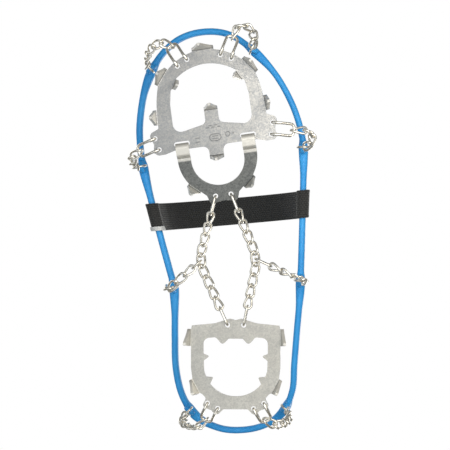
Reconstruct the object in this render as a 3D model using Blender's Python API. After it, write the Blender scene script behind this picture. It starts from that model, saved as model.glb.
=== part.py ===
"""Chain-and-plate crampon for a left boot, modelled in the shape it has when worn.

Sizes are in millimetres and are turned into metres when a piece is made. X points
to the inner side of the foot, Y to the toe and Z up; the spikes stand on Z = 0.
"""

import math
from collections import namedtuple

import bmesh
import bpy
from mathutils import Matrix, Vector

MM = 0.001
UP = Vector((0.0, 0.0, 1.0))

# The middle of the whole part in the sketch's X and Y, which becomes the origin
PART_MIDDLE = Vector((-0.55, -1.75, 0.0))

# Plates
SPIKE_HEIGHT = 10.0
PLATE_THICKNESS = 2.0
PLATE_MIDDLE = SPIKE_HEIGHT + PLATE_THICKNESS / 2
FLEX_THICKNESS = 1.6
BEND_RADIUS = 0.8
BEND_STEPS = 3
SPIKE_LEAN = 12.0
SPIKE_TIP = 2.2
HOLE_RADIUS = 1.8
FOREFOOT_AT = (2.9, 64.0)
FOREFOOT_TURN = -2.8
HEEL_AT = (2.1, -96.0)
HEEL_TURN = 5.0

# Slots in the forefoot plate, and the hooks of the flex plate that turn in them
SLOT_X = 23.6
SLOT_LENGTH = 11.4
SLOT_WIDTH = 3.6
STRIP_REAR = -4.0
PIVOT_Y = (STRIP_REAR - SLOT_WIDTH / 2) / 2
ARM_END_Y = -10.5
HOOK_RADIUS = 1.9
FLEX_TILT = -12.0
FLEX_HOLE_X = 5.5
FLEX_HOLE_Y = -40.3

# Wire and chain
BAIL_WIRE = 2.0
LINK_WIRE = 1.7
LINK_WIDTH = 7.2
RING_WIRE = 1.8
CHAIN_GAP = 0.3
BAIL_GAP = 0.6
JUNCTION_ROOM = 0.5
JOIN_OVERLAP = 0.5
END_LINK_LENGTH = 15.6
SMALL_LINKS_EACH_SIDE = 4
WIRE_RESOLUTION = 1

# Harness
STRAND_THICKNESS = 4.6
STRAND_HEIGHT = 9.0
FRONT_END_Y = 44.0
REAR_END_Y = 24.2
SIDE_GAP = 0.4
LUG_RADIUS = 4.3
LUG_HOLE = 2.4
LUG_THICKNESS = 2.6
LUG_DROP = 7.6
LUG_RING = 4.7
RING_TILT = 14.0

# Strap over the instep
STRAP_Y = 13.5
STRAP_WIDTH = 20.0
STRAP_THICKNESS = 1.6
FLAP_GAP = 0.5
STRIPE_WIDTH = 3.0
STRIPE_THICKNESS = 0.6
TAIL_START = 3
TAIL_END = 16
STRAP_LOOP_GAP = 0.8

STEEL = ((0.62, 0.61, 0.57), 0.38, 1.0)
STEEL_DULL = ((0.42, 0.43, 0.41), 0.5, 1.0)
STEEL_SATIN = ((0.56, 0.55, 0.50), 0.42, 1.0)
NICKEL = ((0.70, 0.66, 0.56), 0.25, 1.0)
RUBBER_BLUE = ((0.02, 0.27, 0.68), 0.55, 0.0)
WEBBING_BLACK = ((0.02, 0.02, 0.02), 0.9, 0.0)
REFLECTIVE = ((0.62, 0.63, 0.62), 0.45, 0.0)

# Centre line of the harness: toe, inner side, heel, outer side
HARNESS_ROUTE = [
    (7.5, 144.0, 50.0), (26.5, 140.0, 50.0), (42.5, 127.0, 50.0), (53.5, 107.0, 49.5),
    (59.5, 83.0, 49.0), (60.7, 63.0, 48.5), (59.3, 46.0, 48.0), (56.0, 25.0, 48.5),
    (51.6, -2.0, 49.0), (47.2, -25.0, 47.5), (45.0, -38.0, 46.5), (45.8, -55.0, 47.5),
    (47.7, -74.0, 50.0), (49.3, -97.0, 53.0), (46.7, -118.0, 58.0), (38.5, -134.0, 65.0),
    (23.2, -144.5, 73.0), (6.0, -147.5, 77.0), (-11.0, -144.5, 73.0), (-24.7, -135.5, 65.0),
    (-33.4, -120.0, 58.0), (-36.7, -101.0, 53.0), (-41.3, -75.0, 49.0), (-45.0, -55.0, 46.0),
    (-46.9, -41.0, 44.5), (-48.8, -25.0, 46.0), (-51.7, 1.0, 48.5), (-54.4, 25.0, 48.5),
    (-56.4, 45.0, 48.0), (-56.8, 63.0, 48.5), (-52.0, 85.0, 49.0), (-41.8, 108.0, 49.5),
    (-27.0, 127.0, 50.0), (-11.3, 140.0, 50.0),
]
ROUTE_STEPS = 2


# ---------------------------------------------------------------- scene and materials

def clear_scene():
    for thing in list(bpy.data.objects):
        bpy.data.objects.remove(thing, do_unlink=True)


def part_collection():
    folder = bpy.data.collections.new("crampon")
    bpy.context.scene.collection.children.link(folder)
    return folder


def paint(thing, finish):
    colour, roughness, metallic = finish
    material = bpy.data.materials.new(thing.name)
    material.use_nodes = True
    shader = material.node_tree.nodes["Principled BSDF"]
    shader.inputs["Base Color"].default_value = (*colour, 1.0)
    shader.inputs["Roughness"].default_value = roughness
    shader.inputs["Metallic"].default_value = metallic
    thing.data.materials.append(material)


def place(name, data, finish, matrix=Matrix()):
    """Make an object in the part's collection from mesh or curve data in millimetres."""
    data.transform(Matrix.Scale(MM, 4))
    thing = bpy.data.objects.new(name, data)
    bpy.data.collections["crampon"].objects.link(thing)
    at = matrix.copy()
    at.translation = (at.translation - PART_MIDDLE) * MM
    thing.matrix_world = at
    paint(thing, finish)
    return thing


def mesh_of(data, modifiers=()):
    """Return the mesh that curve or mesh data gives, with Boolean cutters applied."""
    holder = bpy.data.objects.new("holder", data)
    bpy.context.scene.collection.objects.link(holder)
    tools = []
    for operation, tool_mesh in modifiers:
        tool = bpy.data.objects.new("tool", tool_mesh)
        bpy.context.scene.collection.objects.link(tool)
        tools.append(tool)
        boolean = holder.modifiers.new(operation, "BOOLEAN")
        boolean.operation = operation
        boolean.solver = "EXACT"
        boolean.object = tool
    graph = bpy.context.evaluated_depsgraph_get()
    mesh = bpy.data.meshes.new_from_object(holder.evaluated_get(graph))
    for extra in [holder, *tools]:
        bpy.data.objects.remove(extra, do_unlink=True)
    return welded(mesh)


def welded(mesh):
    bm = bmesh.new()
    bm.from_mesh(mesh)
    bmesh.ops.remove_doubles(bm, verts=bm.verts, dist=0.002)
    bmesh.ops.dissolve_degenerate(bm, dist=0.001, edges=bm.edges)
    bmesh.ops.recalc_face_normals(bm, faces=bm.faces)
    bm.to_mesh(mesh)
    bm.free()
    return mesh


# ---------------------------------------------------------------- outlines and curves

def rounded(corners):
    """Turn corners (x, y) or (x, y, radius) into outline points with round corners."""
    points = []
    for index, corner in enumerate(corners):
        here = Vector(corner[:2])
        if len(corner) == 2:
            points.append(here)
            continue
        before = (Vector(corners[index - 1][:2]) - here).normalized()
        after = (Vector(corners[(index + 1) % len(corners)][:2]) - here).normalized()
        opening = before.angle(after)
        middle = here + (before + after).normalized() * corner[2] / math.sin(opening / 2)
        first = here + before * corner[2] / math.tan(opening / 2) - middle
        sweep = math.pi - opening
        if before.cross(after) > 0:
            sweep = -sweep
        steps = max(2, round(abs(sweep) * 2.4))
        for step in range(steps + 1):
            turn = Matrix.Rotation(sweep * step / steps, 2)
            points.append(middle + turn @ first)
    return points


def arc(start, through, end, steps):
    """Return the inner points of the circular arc that passes through three points."""
    a, b, c = Vector(start), Vector(through), Vector(end)
    ab, ac = b - a, c - a
    double_area = 2 * ab.cross(ac)
    centre = a + Vector((
        ac.y * ab.length_squared - ab.y * ac.length_squared,
        ab.x * ac.length_squared - ac.x * ab.length_squared,
    )) / double_area
    first = a - centre
    sweep = first.angle_signed(c - centre) * -1.0
    return [tuple(centre + Matrix.Rotation(sweep * i / steps, 2) @ first) for i in range(1, steps)]


def mirrored(half):
    """Close an outline given on X >= 0, from its top on the middle line to its bottom."""
    other = [(-x, y, *rest) for x, y, *rest in reversed(half) if x > 0.001]
    return half + other


def circle(x, y, radius, steps=12):
    return [
        Vector((x + radius * math.cos(turn), y + radius * math.sin(turn)))
        for turn in (2 * math.pi * i / steps for i in range(steps))
    ]


def slot(x, y, length, width, steps=4):
    """Return the outline of a slot with round ends that runs along X."""
    reach = (length - width) / 2
    points = []
    for side in (1, -1):
        for step in range(steps + 1):
            turn = math.pi * (step / steps - 0.5)
            offset = Vector((reach + width / 2 * math.cos(turn), width / 2 * math.sin(turn)))
            points.append(Vector((x, y)) + offset * side)
    return points


def flat_sheet(loops, thickness):
    """Return a mesh of a flat sheet, centred on Z = 0, from an outline and its holes."""
    curve = bpy.data.curves.new("outline", "CURVE")
    curve.dimensions = "2D"
    curve.fill_mode = "BOTH"
    curve.extrude = thickness / 2
    for loop in loops:
        spline = curve.splines.new("POLY")
        spline.points.add(len(loop) - 1)
        for point, at in zip(spline.points, loop):
            point.co = (at[0], at[1], 0.0, 1.0)
        spline.use_cyclic_u = True
    return mesh_of(curve)


def wire_curve(points, wire, closed=False, height=0.0):
    """Return a curve of round wire, or of a taller strand when a height is given."""
    curve = bpy.data.curves.new("wire", "CURVE")
    curve.dimensions = "3D"
    curve.fill_mode = "FULL"
    curve.bevel_depth = wire / 2
    curve.bevel_resolution = WIRE_RESOLUTION
    curve.use_fill_caps = True
    if height:
        curve.twist_mode = "Z_UP"
        curve.extrude = (height - wire) / 2
    spline = curve.splines.new("POLY")
    spline.points.add(len(points) - 1)
    for point, at in zip(spline.points, points):
        point.co = (*at, 1.0)
    spline.use_cyclic_u = closed
    return curve


def smooth_route(points, steps, closed=False):
    """Return Catmull-Rom points through the given ones."""
    count = len(points)
    route = []
    spans = count if closed else count - 1
    for span in range(spans):
        if closed:
            a, b, c, d = (Vector(points[(span + k) % count]) for k in (-1, 0, 1, 2))
        else:
            a, b, c, d = (Vector(points[min(max(span + k, 0), count - 1)]) for k in (-1, 0, 1, 2))
        for step in range(steps):
            t = step / steps
            route.append(0.5 * (
                2 * b + (c - a) * t + (2 * a - 5 * b + 4 * c - d) * t * t
                + (3 * b - a - 3 * c + d) * t * t * t
            ))
    if not closed:
        route.append(Vector(points[-1]))
    return route


# ---------------------------------------------------------------- bending sheet metal

class Strip:
    """The end face of a sheet, which is pushed out and bent step by step."""

    def __init__(self, bm, start, end, thickness):
        self.bm = bm
        self.thickness = thickness
        self.face = self.find(start, end)
        self.face.normal_update()
        self.heading = self.face.normal.copy()
        self.up = UP.copy()

    def find(self, start, end):
        ends = (Vector(start[:2]), Vector(end[:2]))
        for face in self.bm.faces:
            flat = [vert.co.xy for vert in face.verts]
            near = all(min((at - mark).length for mark in ends) < 0.01 for at in flat)
            if len(flat) == 4 and near:
                return face
        raise ValueError("no edge between the two points")

    def grow(self):
        self.face = bmesh.ops.extrude_discrete_faces(self.bm, faces=[self.face])["faces"][0]

    def straight(self, length):
        self.grow()
        bmesh.ops.translate(self.bm, verts=self.face.verts, vec=self.heading * length)

    def bend(self, degrees, radius, steps):
        """Bend down for a positive angle and up for a negative one."""
        inner = self.up * (-1.0 if degrees > 0 else 1.0)
        centre = self.face.calc_center_median() + inner * (self.thickness / 2 + radius)
        axis = self.heading.cross(inner)
        turn = Matrix.Rotation(math.radians(abs(degrees)) / steps, 3, axis)
        for _ in range(steps):
            self.grow()
            bmesh.ops.rotate(self.bm, cent=centre, matrix=turn, verts=self.face.verts)
            self.heading = turn @ self.heading
            self.up = turn @ self.up


def bend_spike(bm, start, end, thickness, bottom, tip_at=0.5):
    """Bend the edge from start to end down into a spike with a flat tip at the bottom."""
    strip = Strip(bm, start, end, thickness)
    along = (Vector(end[:2]) - Vector(start[:2])).normalized().to_3d()
    strip.bend(90.0 - SPIKE_LEAN, BEND_RADIUS, BEND_STEPS)
    drop = strip.face.calc_center_median().z - bottom
    strip.straight(drop / -strip.heading.z)
    places = [vert.co.dot(along) for vert in strip.face.verts]
    low, high = min(places), max(places)
    tip = low + (high - low) * tip_at
    for vert, where in zip(strip.face.verts, places):
        target = tip + (SPIKE_TIP / 2 if where > (low + high) / 2 else -SPIKE_TIP / 2)
        vert.co += along * (target - where)
        vert.co.z = bottom


def bend_hook(bm, start, end):
    """Joggle an arm of the flex plate down and hook it up round the slotted strip."""
    strip = Strip(bm, start, end, FLEX_THICKNESS)
    drop = HOOK_RADIUS + FLEX_THICKNESS / 2
    jog = 45.0
    turn_drop = 2 * (FLEX_THICKNESS / 2 + BEND_RADIUS) * (1 - math.cos(math.radians(jog)))
    strip.bend(jog, BEND_RADIUS, 2)
    strip.straight((drop - turn_drop) / math.sin(math.radians(jog)))
    strip.bend(-jog, BEND_RADIUS, 2)
    strip.straight(PIVOT_Y - strip.face.calc_center_median().y)
    strip.bend(-180.0, HOOK_RADIUS, 6)
    strip.straight(1.4)


def bent_mesh(mesh, work):
    bm = bmesh.new()
    bm.from_mesh(mesh)
    work(bm)
    bmesh.ops.recalc_face_normals(bm, faces=bm.faces)
    bm.to_mesh(mesh)
    bm.free()
    return mesh


# ---------------------------------------------------------------- plates

def frame_at(position, turn_degrees, height):
    return Matrix.Translation((*position, height)) @ Matrix.Rotation(math.radians(turn_degrees), 4, "Z")


FOREFOOT_FRAME = frame_at(FOREFOOT_AT, FOREFOOT_TURN, PLATE_MIDDLE)
HEEL_FRAME = frame_at(HEEL_AT, HEEL_TURN, PLATE_MIDDLE)
FLEX_FRAME = (
    FOREFOOT_FRAME
    @ Matrix.Translation((0.0, PIVOT_Y, 0.0))
    @ Matrix.Rotation(math.radians(FLEX_TILT), 4, "X")
)

TOE_HOLES = ((12.0, 58.7), (19.3, 55.0))
SIDE_HOLES = ((42.0, 6.3), (40.1, -1.9))
HEEL_TOP_HOLE = (5.7, 28.2)
HEEL_HOLES = ((12.7, -30.7), (20.0, -27.0))


def both_sides(point):
    return (point, (-point[0], point[1]))


def forefoot_plate():
    front = (7.7, 63.4)
    shoulder = ((26.5, 53.5), (34.9, 42.7))
    side = ((38.0, 26.0), (38.6, 15.4))
    tail = (5.0, -10.6)
    outline = mirrored(
        [front, *arc(front, (18.2, 59.4), shoulder[0], 4), shoulder[0], shoulder[1]]
        + [*arc(shoulder[1], (36.9, 34.6), side[0], 3), side[0], side[1]]
        + [(38.4, 12.9, 1.5), (46.2, 9.8, 3.4), (43.2, 2.2, 2.5), (44.4, -6.0, 3.6)]
        + [(36.0, -5.8, 3.0), (29.5, -4.0), (5.0, -4.0, 4.5), tail]
    )
    tongue = (4.8, 20.6)
    tooth = ((21.9, 46.0), (25.4, 39.6))
    window = mirrored(
        [(0.0, 54.0), *arc((0.0, 54.0), (11.5, 51.9), tooth[0], 4), tooth[0], tooth[1]]
        + [(26.6, 38.2, 1.2), (28.2, 29.0, 6.0), (28.4, 7.2, 6.0), (4.8, 11.9, 3.5), tongue]
    )
    marks = TOE_HOLES + SIDE_HOLES
    holes = [circle(x, y, HOLE_RADIUS) for mark in marks for x, y in both_sides(mark)]
    slots = [slot(x, 0.0, SLOT_LENGTH, SLOT_WIDTH) for x in (-SLOT_X, SLOT_X)]
    mesh = flat_sheet([rounded(outline), rounded(window), *holes, *slots], PLATE_THICKNESS)

    def work(bm):
        ground = -PLATE_MIDDLE
        bend_spike(bm, (-front[0], front[1]), front, PLATE_THICKNESS, ground, 0.6)
        bend_spike(bm, (-tail[0], tail[1]), tail, PLATE_THICKNESS, ground)
        bend_spike(bm, (-tongue[0], tongue[1]), tongue, PLATE_THICKNESS, ground)
        for sign in (1, -1):
            for first, last, tip in ((*shoulder, 0.45), (*side, 0.5), (*tooth, 0.5)):
                ends = [(sign * x, y) for x, y in (first, last)]
                bend_spike(bm, *ends, PLATE_THICKNESS, ground, tip)

    return place("forefoot_plate", bent_mesh(mesh, work), STEEL, FOREFOOT_FRAME)


def flex_plate():
    """The U-shaped plate whose two arms hook through the forefoot slots."""
    inner, outer = 18.9, 28.3
    arm_root = (28.2, -14.0)
    spike = ((23.0, -28.8), (15.2, -36.0))
    outline = mirrored(
        [(inner, ARM_END_Y), (outer, ARM_END_Y), arm_root]
        + [*arc(arm_root, (26.6, -21.8), spike[0], 3), spike[0], spike[1]]
        + [(11.6, -39.2), (9.6, -45.8, 3.2), (0.0, -43.9, 8.0)]
    )
    bow_steps = 14
    bow = [
        (-inner * math.cos(turn), arm_root[1] - inner * math.sin(turn))
        for turn in (math.pi * step / bow_steps for step in range(bow_steps + 1))
    ]
    holes = [circle(x, FLEX_HOLE_Y, HOLE_RADIUS) for x in (-FLEX_HOLE_X, FLEX_HOLE_X)]
    mesh = flat_sheet([rounded(outline + bow), *holes], FLEX_THICKNESS)

    def work(bm):
        for sign in (1, -1):
            bend_hook(bm, (sign * inner, ARM_END_Y), (sign * outer, ARM_END_Y))
            ends = [(sign * x, y) for x, y in spike]
            bend_spike(bm, *ends, FLEX_THICKNESS, -PLATE_MIDDLE, 0.45)
        bmesh.ops.translate(bm, verts=bm.verts, vec=(0.0, -PIVOT_Y, 0.0))

    return place("flex_plate", bent_mesh(mesh, work), STEEL_DULL, FLEX_FRAME)


def heel_plate():
    upper = ((31.4, 25.4), (31.6, 13.4))
    lower = ((30.6, -9.8), (25.2, -19.8))
    outline = mirrored(
        [(0.0, 31.7), (4.0, 32.8, 2.0), (15.0, 29.4, 12.0), (31.0, 27.9), upper[0], upper[1]]
        + [(31.6, -2.0, 8.0), lower[0], lower[1], (23.6, -20.6), (20.8, -23.6, 2.0)]
        + [(24.2, -29.4, 2.4), (17.2, -32.0, 2.0), (13.6, -36.2, 3.0), (8.6, -31.2, 1.5)]
    )
    window = mirrored(
        [(0.0, 18.6), (5.0, 18.6, 1.6), (9.2, 14.0, 2.2), (14.0, 19.6, 2.2), (22.8, 18.8, 4.4)]
        + [(22.8, 7.9, 0.8), (18.4, 6.2, 0.8), (22.6, 3.0, 0.8), (22.4, -4.0, 4.0), (21.0, -8.2, 0.8)]
        + [(15.8, -8.6, 0.8), (18.0, -13.4)]
        + arc((18.0, -13.4), (10.5, -19.6), (0.0, -22.0), 5) + [(0.0, -22.0)]
    )
    marks = (HEEL_TOP_HOLE, *HEEL_HOLES)
    holes = [circle(x, y, HOLE_RADIUS) for mark in marks for x, y in both_sides(mark)]
    mesh = flat_sheet([rounded(outline), rounded(window), *holes], PLATE_THICKNESS)

    def work(bm):
        for sign in (1, -1):
            for first, last, tip in ((*upper, 0.85), (*lower, 0.8)):
                ends = [(sign * x, y) for x, y in (first, last)]
                bend_spike(bm, *ends, PLATE_THICKNESS, -PLATE_MIDDLE, tip)

    return place("heel_plate", bent_mesh(mesh, work), STEEL_SATIN, HEEL_FRAME)


# ---------------------------------------------------------------- wire bails

# side is 1 for the inner holes and -1 for the outer ones, rise is that of the far end
Bail = namedtuple("Bail", "plate holes side length rise free_end")
BAILS = {
    "toe_inner": Bail(FOREFOOT_FRAME, TOE_HOLES, 1, length=15.0, rise=3.0, free_end=4.6),
    "toe_outer": Bail(FOREFOOT_FRAME, TOE_HOLES, -1, length=15.0, rise=3.0, free_end=4.6),
    "side_inner": Bail(FOREFOOT_FRAME, SIDE_HOLES, 1, length=14.5, rise=3.0, free_end=4.6),
    "side_outer": Bail(FOREFOOT_FRAME, SIDE_HOLES, -1, length=15.5, rise=3.0, free_end=4.6),
    "heel_inner": Bail(HEEL_FRAME, HEEL_HOLES, 1, length=12.0, rise=3.0, free_end=7.5),
    "heel_outer": Bail(HEEL_FRAME, HEEL_HOLES, -1, length=12.0, rise=3.0, free_end=7.5),
}


def bail_frame(name):
    """Return a frame midway between the two holes, Y outward, and half their distance."""
    bail = BAILS[name]
    first, last = (bail.plate @ Vector((bail.side * x, y, 0.0)) for x, y in bail.holes)
    across = (last - first).normalized()
    outward = UP.cross(across)
    middle = (first + last) / 2
    if outward.dot(middle - bail.plate.translation) < 0:
        across, outward = -across, -outward
    axes = Matrix((across, outward, UP)).transposed().to_4x4()
    return Matrix.Translation(middle) @ axes, (last - first).length / 2


def bail_end(name):
    """Return the middle of the wire at the far end of a bail."""
    frame, _ = bail_frame(name)
    return frame @ Vector((0.0, BAILS[name].length, BAILS[name].rise))


def wire_bail(name):
    frame, half = bail_frame(name)
    bail = BAILS[name]
    length, rise = bail.length, bail.rise
    top = PLATE_THICKNESS / 2 + BAIL_WIRE / 2 + 0.7
    low = -(PLATE_THICKNESS / 2 + BAIL_WIRE / 2 + 0.5)
    leg = [
        (half, bail.free_end, top), (half, 1.8, top), (half, 0.5, top - 0.5), (half, 0.0, top - 1.6),
        (half, 0.0, low + 1.4), (half, 0.4, low + 0.4), (half, 1.6, low), (half, 4.6, low),
        (half, length - 3.0, rise - 1.6), (half - 0.5, length - 1.2, rise - 0.6),
        (half - 1.8, length - 0.2, rise - 0.1), (0.0, length, rise),
    ]
    other = [(-x, y, z) for x, y, z in reversed(leg[:-1])]
    return place(name + "_bail", wire_curve(leg + other, BAIL_WIRE), NICKEL, frame)


# ---------------------------------------------------------------- chain links

def link_points(length, width, first_turn, last_turn, steps=4):
    """Return a link's centre line: a stadium along X, twisted from one end to the other."""
    radius = (width - LINK_WIRE) / 2
    reach = (length - LINK_WIRE) / 2
    points = []
    for side in (1, -1):
        for step in range(steps + 1):
            turn = math.pi * (step / steps - 0.5)
            x = side * (reach - radius + radius * math.cos(turn))
            y = side * radius * math.sin(turn)
            share = (x + reach) / (2 * reach)
            roll = math.radians(first_turn + (last_turn - first_turn) * share)
            points.append((x, y * math.cos(roll), y * math.sin(roll)))
    return points


def link_curve(length, first_turn, last_turn, width=LINK_WIDTH):
    return wire_curve(link_points(length, width, first_turn, last_turn), LINK_WIRE, closed=True)


def link_frame(start, end, side):
    """Return a frame midway between two points: X along the link, Y near the side vector."""
    along = (end - start).normalized()
    across = (side - along * side.dot(along)).normalized()
    axes = Matrix((along, across, along.cross(across))).transposed().to_4x4()
    return Matrix.Translation((start + end) / 2) @ axes


def twist_each(count, first, last):
    """Return one twist for every link, so that neighbours cross near a right angle."""
    base = last - first + 90.0 * (count - 1)
    options = [(base + 180.0 * k) / count for k in range(-count - 2, count + 3)]
    return min(options, key=lambda twist: abs(twist - 90.0))


def roll_of(vector, frame):
    """Return the angle of a vector about a frame's X axis, in degrees."""
    local = frame.to_3x3().inverted() @ vector
    return math.degrees(math.atan2(local.z, local.y))


# ---------------------------------------------------------------- centre chains

JUNCTIONS = {"inner": Vector((22.0, -20.5, 15.0)), "outer": Vector((-19.4, -22.6, 15.0))}


def flex_hole(side):
    sign = 1 if side == "inner" else -1
    return FLEX_FRAME @ Vector((sign * FLEX_HOLE_X, FLEX_HOLE_Y - PIVOT_Y, 0.0))


def heel_hole(side):
    sign = 1 if side == "inner" else -1
    return HEEL_FRAME @ Vector((sign * HEEL_TOP_HOLE[0], HEEL_TOP_HOLE[1], 0.0))


def half_chain(hole, junction):
    """Place the end link and four small links between a plate's hole and the junction."""
    reach = END_LINK_LENGTH - LINK_WIRE
    step_back = LINK_WIRE + CHAIN_GAP
    along = (junction - hole).normalized()
    total = (junction - hole).length
    small = (total - reach + step_back / 2) / (SMALL_LINKS_EACH_SIDE + 0.5)
    spans = [(hole, hole + along * reach)]
    for _ in range(SMALL_LINKS_EACH_SIDE):
        start = spans[-1][1] - along * step_back
        spans.append((start, start + along * (small + step_back)))
    return spans


def chain_spans(side):
    """Return the wire-centre spans of the eleven links, from the flex plate to the heel."""
    front = half_chain(flex_hole(side), JUNCTIONS[side])
    rear = half_chain(heel_hole(side), JUNCTIONS[side])
    step_back = LINK_WIRE + CHAIN_GAP
    start = front[-1][1] - (front[-1][1] - front[-1][0]).normalized() * step_back
    end = rear[-1][1] - (rear[-1][1] - rear[-1][0]).normalized() * step_back
    along = (end - start).normalized() * JUNCTION_ROOM
    start, end = start - along, end + along
    return front + [(start, end)] + [(b, a) for a, b in reversed(rear)]


def junction_middle(side):
    start, end = chain_spans(side)[SMALL_LINKS_EACH_SIDE + 1]
    return (start + end) / 2


def centre_chain(side):
    spans = chain_spans(side)
    across = UP.cross((spans[-1][1] - spans[0][0]).normalized())
    small = len(spans) - 2
    twist = twist_each(small, 0.0, 0.0)
    roll = 0.0
    for index, (start, end) in enumerate(spans):
        frame = link_frame(start, end, across)
        length = (end - start).length + LINK_WIRE
        if index in (0, len(spans) - 1):
            curve = link_curve(length, 90.0, 90.0, LINK_WIDTH + 0.6)
        else:
            curve = link_curve(length, roll, roll + twist)
            roll += twist - 90.0
        place(f"{side}_chain_link_{index + 1:02d}", curve, NICKEL, frame)


# ---------------------------------------------------------------- side chains and rings

def strand_point(target):
    """Return the point of the harness centre line that is nearest to a plan position."""
    route = smooth_route(HARNESS_ROUTE, 8, closed=True)
    return min(route, key=lambda at: (at.xy - Vector(target)).length)


# ring_at is the ring's plan position on the strand, way the points that the chain passes
# on its way there, and pull the plan direction in which it leans outward
Run = namedtuple("Run", "ring_at way links pull")
RUNS = {
    "toe_inner": Run(
        ring_at=(46.8, 121.0),
        way=[(34.8, 136.0, 14.5), (42.0, 134.0, 17.5), (47.5, 127.5, 24.0)],
        links=5,
        pull=(0.6, 0.8),
    ),
    "toe_outer": Run(
        ring_at=(-27.5, 127.5),
        way=[(-19.6, 142.0, 14.5), (-25.8, 142.4, 17.5), (-30.2, 136.6, 23.5)],
        links=5,
        pull=(-0.5, 0.86),
    ),
    "side_inner": Run(
        ring_at=(58.5, 50.0),
        way=[(61.9, 59.0, 15.0), (64.3, 55.0, 21.0), (63.3, 50.5, 28.0)],
        links=3,
        pull=(1.0, -0.1),
    ),
    "side_outer": Run(
        ring_at=(-56.5, 53.0),
        way=[(-61.6, 64.5, 15.0), (-66.1, 60.0, 21.0), (-62.2, 54.6, 26.5)],
        links=4,
        pull=(-1.0, -0.1),
    ),
    "heel_inner": Run(
        ring_at=(42.0, -129.0),
        way=[(33.4, -138.0, 16.0), (42.2, -137.0, 25.0), (45.5, -134.0, 36.0)],
        links=6,
        pull=(0.7, -0.7),
    ),
    "heel_outer": Run(
        ring_at=(-27.5, -131.5),
        way=[(-21.6, -141.0, 16.0), (-28.8, -140.5, 24.0), (-31.4, -137.5, 36.0)],
        links=6,
        pull=(-0.7, -0.7),
    ),
    "arch_inner": Run(
        ring_at=(45.0, -38.0),
        way=[(35.4, -31.5, 15.5), (43.0, -36.5, 19.0), (46.2, -39.0, 24.0)],
        links=4,
        pull=(1.0, -0.2),
    ),
    "arch_outer": Run(
        ring_at=(-47.0, -41.0),
        way=[(-41.4, -36.0, 15.5), (-49.0, -39.5, 18.5), (-50.8, -41.2, 24.0)],
        links=4,
        pull=(-1.0, -0.2),
    ),
}
FIRST_LINKS = {"inner": (10.0, 9.0), "outer": (14.4, 7.6)}


def run_links(points, count, first_wire, first_pull, last_pull):
    """Share a smooth route out between links that overlap a little, end to end.

    The first link hooks inside a wire that is pulled one way, the last one into a ring.
    """
    route = smooth_route(points, 12)
    lengths = [0.0]
    for a, b in zip(route, route[1:]):
        lengths.append(lengths[-1] + (b - a).length)

    def at(distance):
        for index in range(1, len(route)):
            if lengths[index] >= distance:
                share = (distance - lengths[index - 1]) / (lengths[index] - lengths[index - 1])
                return route[index - 1].lerp(route[index], share)
        return route[-1]

    step = lengths[-1] / count
    marks = [at(step * index) for index in range(count + 1)]
    hook = (LINK_WIRE - JOIN_OVERLAP) / 2
    spans = []
    for a, b in zip(marks, marks[1:]):
        along = (b - a).normalized()
        spans.append((a - along * hook, b + along * hook))
    along = (marks[1] - marks[0]).normalized()
    room = (first_wire + LINK_WIRE) / 2 + BAIL_GAP
    spans[0] = (marks[0] - along * room / along.dot(first_pull), spans[0][1])
    along = (marks[-1] - marks[-2]).normalized()
    room = (RING_WIRE + LINK_WIRE) / 2 + CHAIN_GAP
    spans[-1] = (spans[-1][0], marks[-1] - along * room / along.dot(last_pull))
    return spans


def joined_links(name, spans, first_across, last_across, first_curve=None):
    """Fuse a run of links that hang together into one solid."""
    frames = [link_frame(*spans[0], first_across)]
    for span in spans[1:]:
        along = (span[1] - span[0]).normalized()
        swing = frames[-1].col[0].to_3d().rotation_difference(along)
        frames.append(link_frame(*span, swing @ frames[-1].col[1].to_3d()))
    first_roll = roll_of(first_across, frames[0])
    last_roll = roll_of(last_across, frames[-1])
    twist = twist_each(len(spans), first_roll, last_roll)
    roll = first_roll
    pieces = []
    for (start, end), frame in zip(spans, frames):
        mesh = mesh_of(link_curve((end - start).length + LINK_WIRE, roll, roll + twist))
        mesh.transform(frame)
        pieces.append(mesh)
        roll += twist - 90.0
    if first_curve:
        pieces.insert(0, first_curve)
    origin = spans[0][0]
    joined = mesh_of(pieces[0], [("UNION", piece) for piece in pieces[1:]])
    joined.transform(Matrix.Translation(-origin))
    return place(name, joined, NICKEL, Matrix.Translation(origin))


def ring_direction(run):
    return Vector((*RUNS[run].pull, 0.0)).normalized()


def lug_hole(run):
    return strand_point(RUNS[run].ring_at) - UP * LUG_DROP


def ring_pull(run):
    """Return the way that the chain pulls the ring: down and a little outward."""
    tilt = math.radians(RING_TILT)
    return ring_direction(run) * math.sin(tilt) - UP * math.cos(tilt)


def ring_bottom(run):
    return lug_hole(run) + ring_pull(run) * 2 * LUG_RING


def ring(run):
    """Hang a round ring from a lug, in the upright plane that points outward."""
    frame = link_frame(Vector(), ring_pull(run), ring_direction(run))
    points = [
        (LUG_RING * (1 + math.cos(turn)), LUG_RING * math.sin(turn), 0.0)
        for turn in (2 * math.pi * i / 14 for i in range(14))
    ]
    frame.translation = lug_hole(run)
    place(run + "_ring", wire_curve(points, RING_WIRE, closed=True), NICKEL, frame)


def side_chain(run):
    """Make the chain that ties a bail to its ring."""
    points = [bail_end(run), *(Vector(at) for at in RUNS[run].way), ring_bottom(run)]
    frame, _ = bail_frame(run)
    spans = run_links(points, RUNS[run].links, BAIL_WIRE, frame.col[1].to_3d(), ring_pull(run))
    across = (spans[0][1] - spans[0][0]).normalized().cross(frame.col[0].to_3d())
    joined_links(run + "_chain", spans, across, UP.cross(ring_direction(run)))


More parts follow.
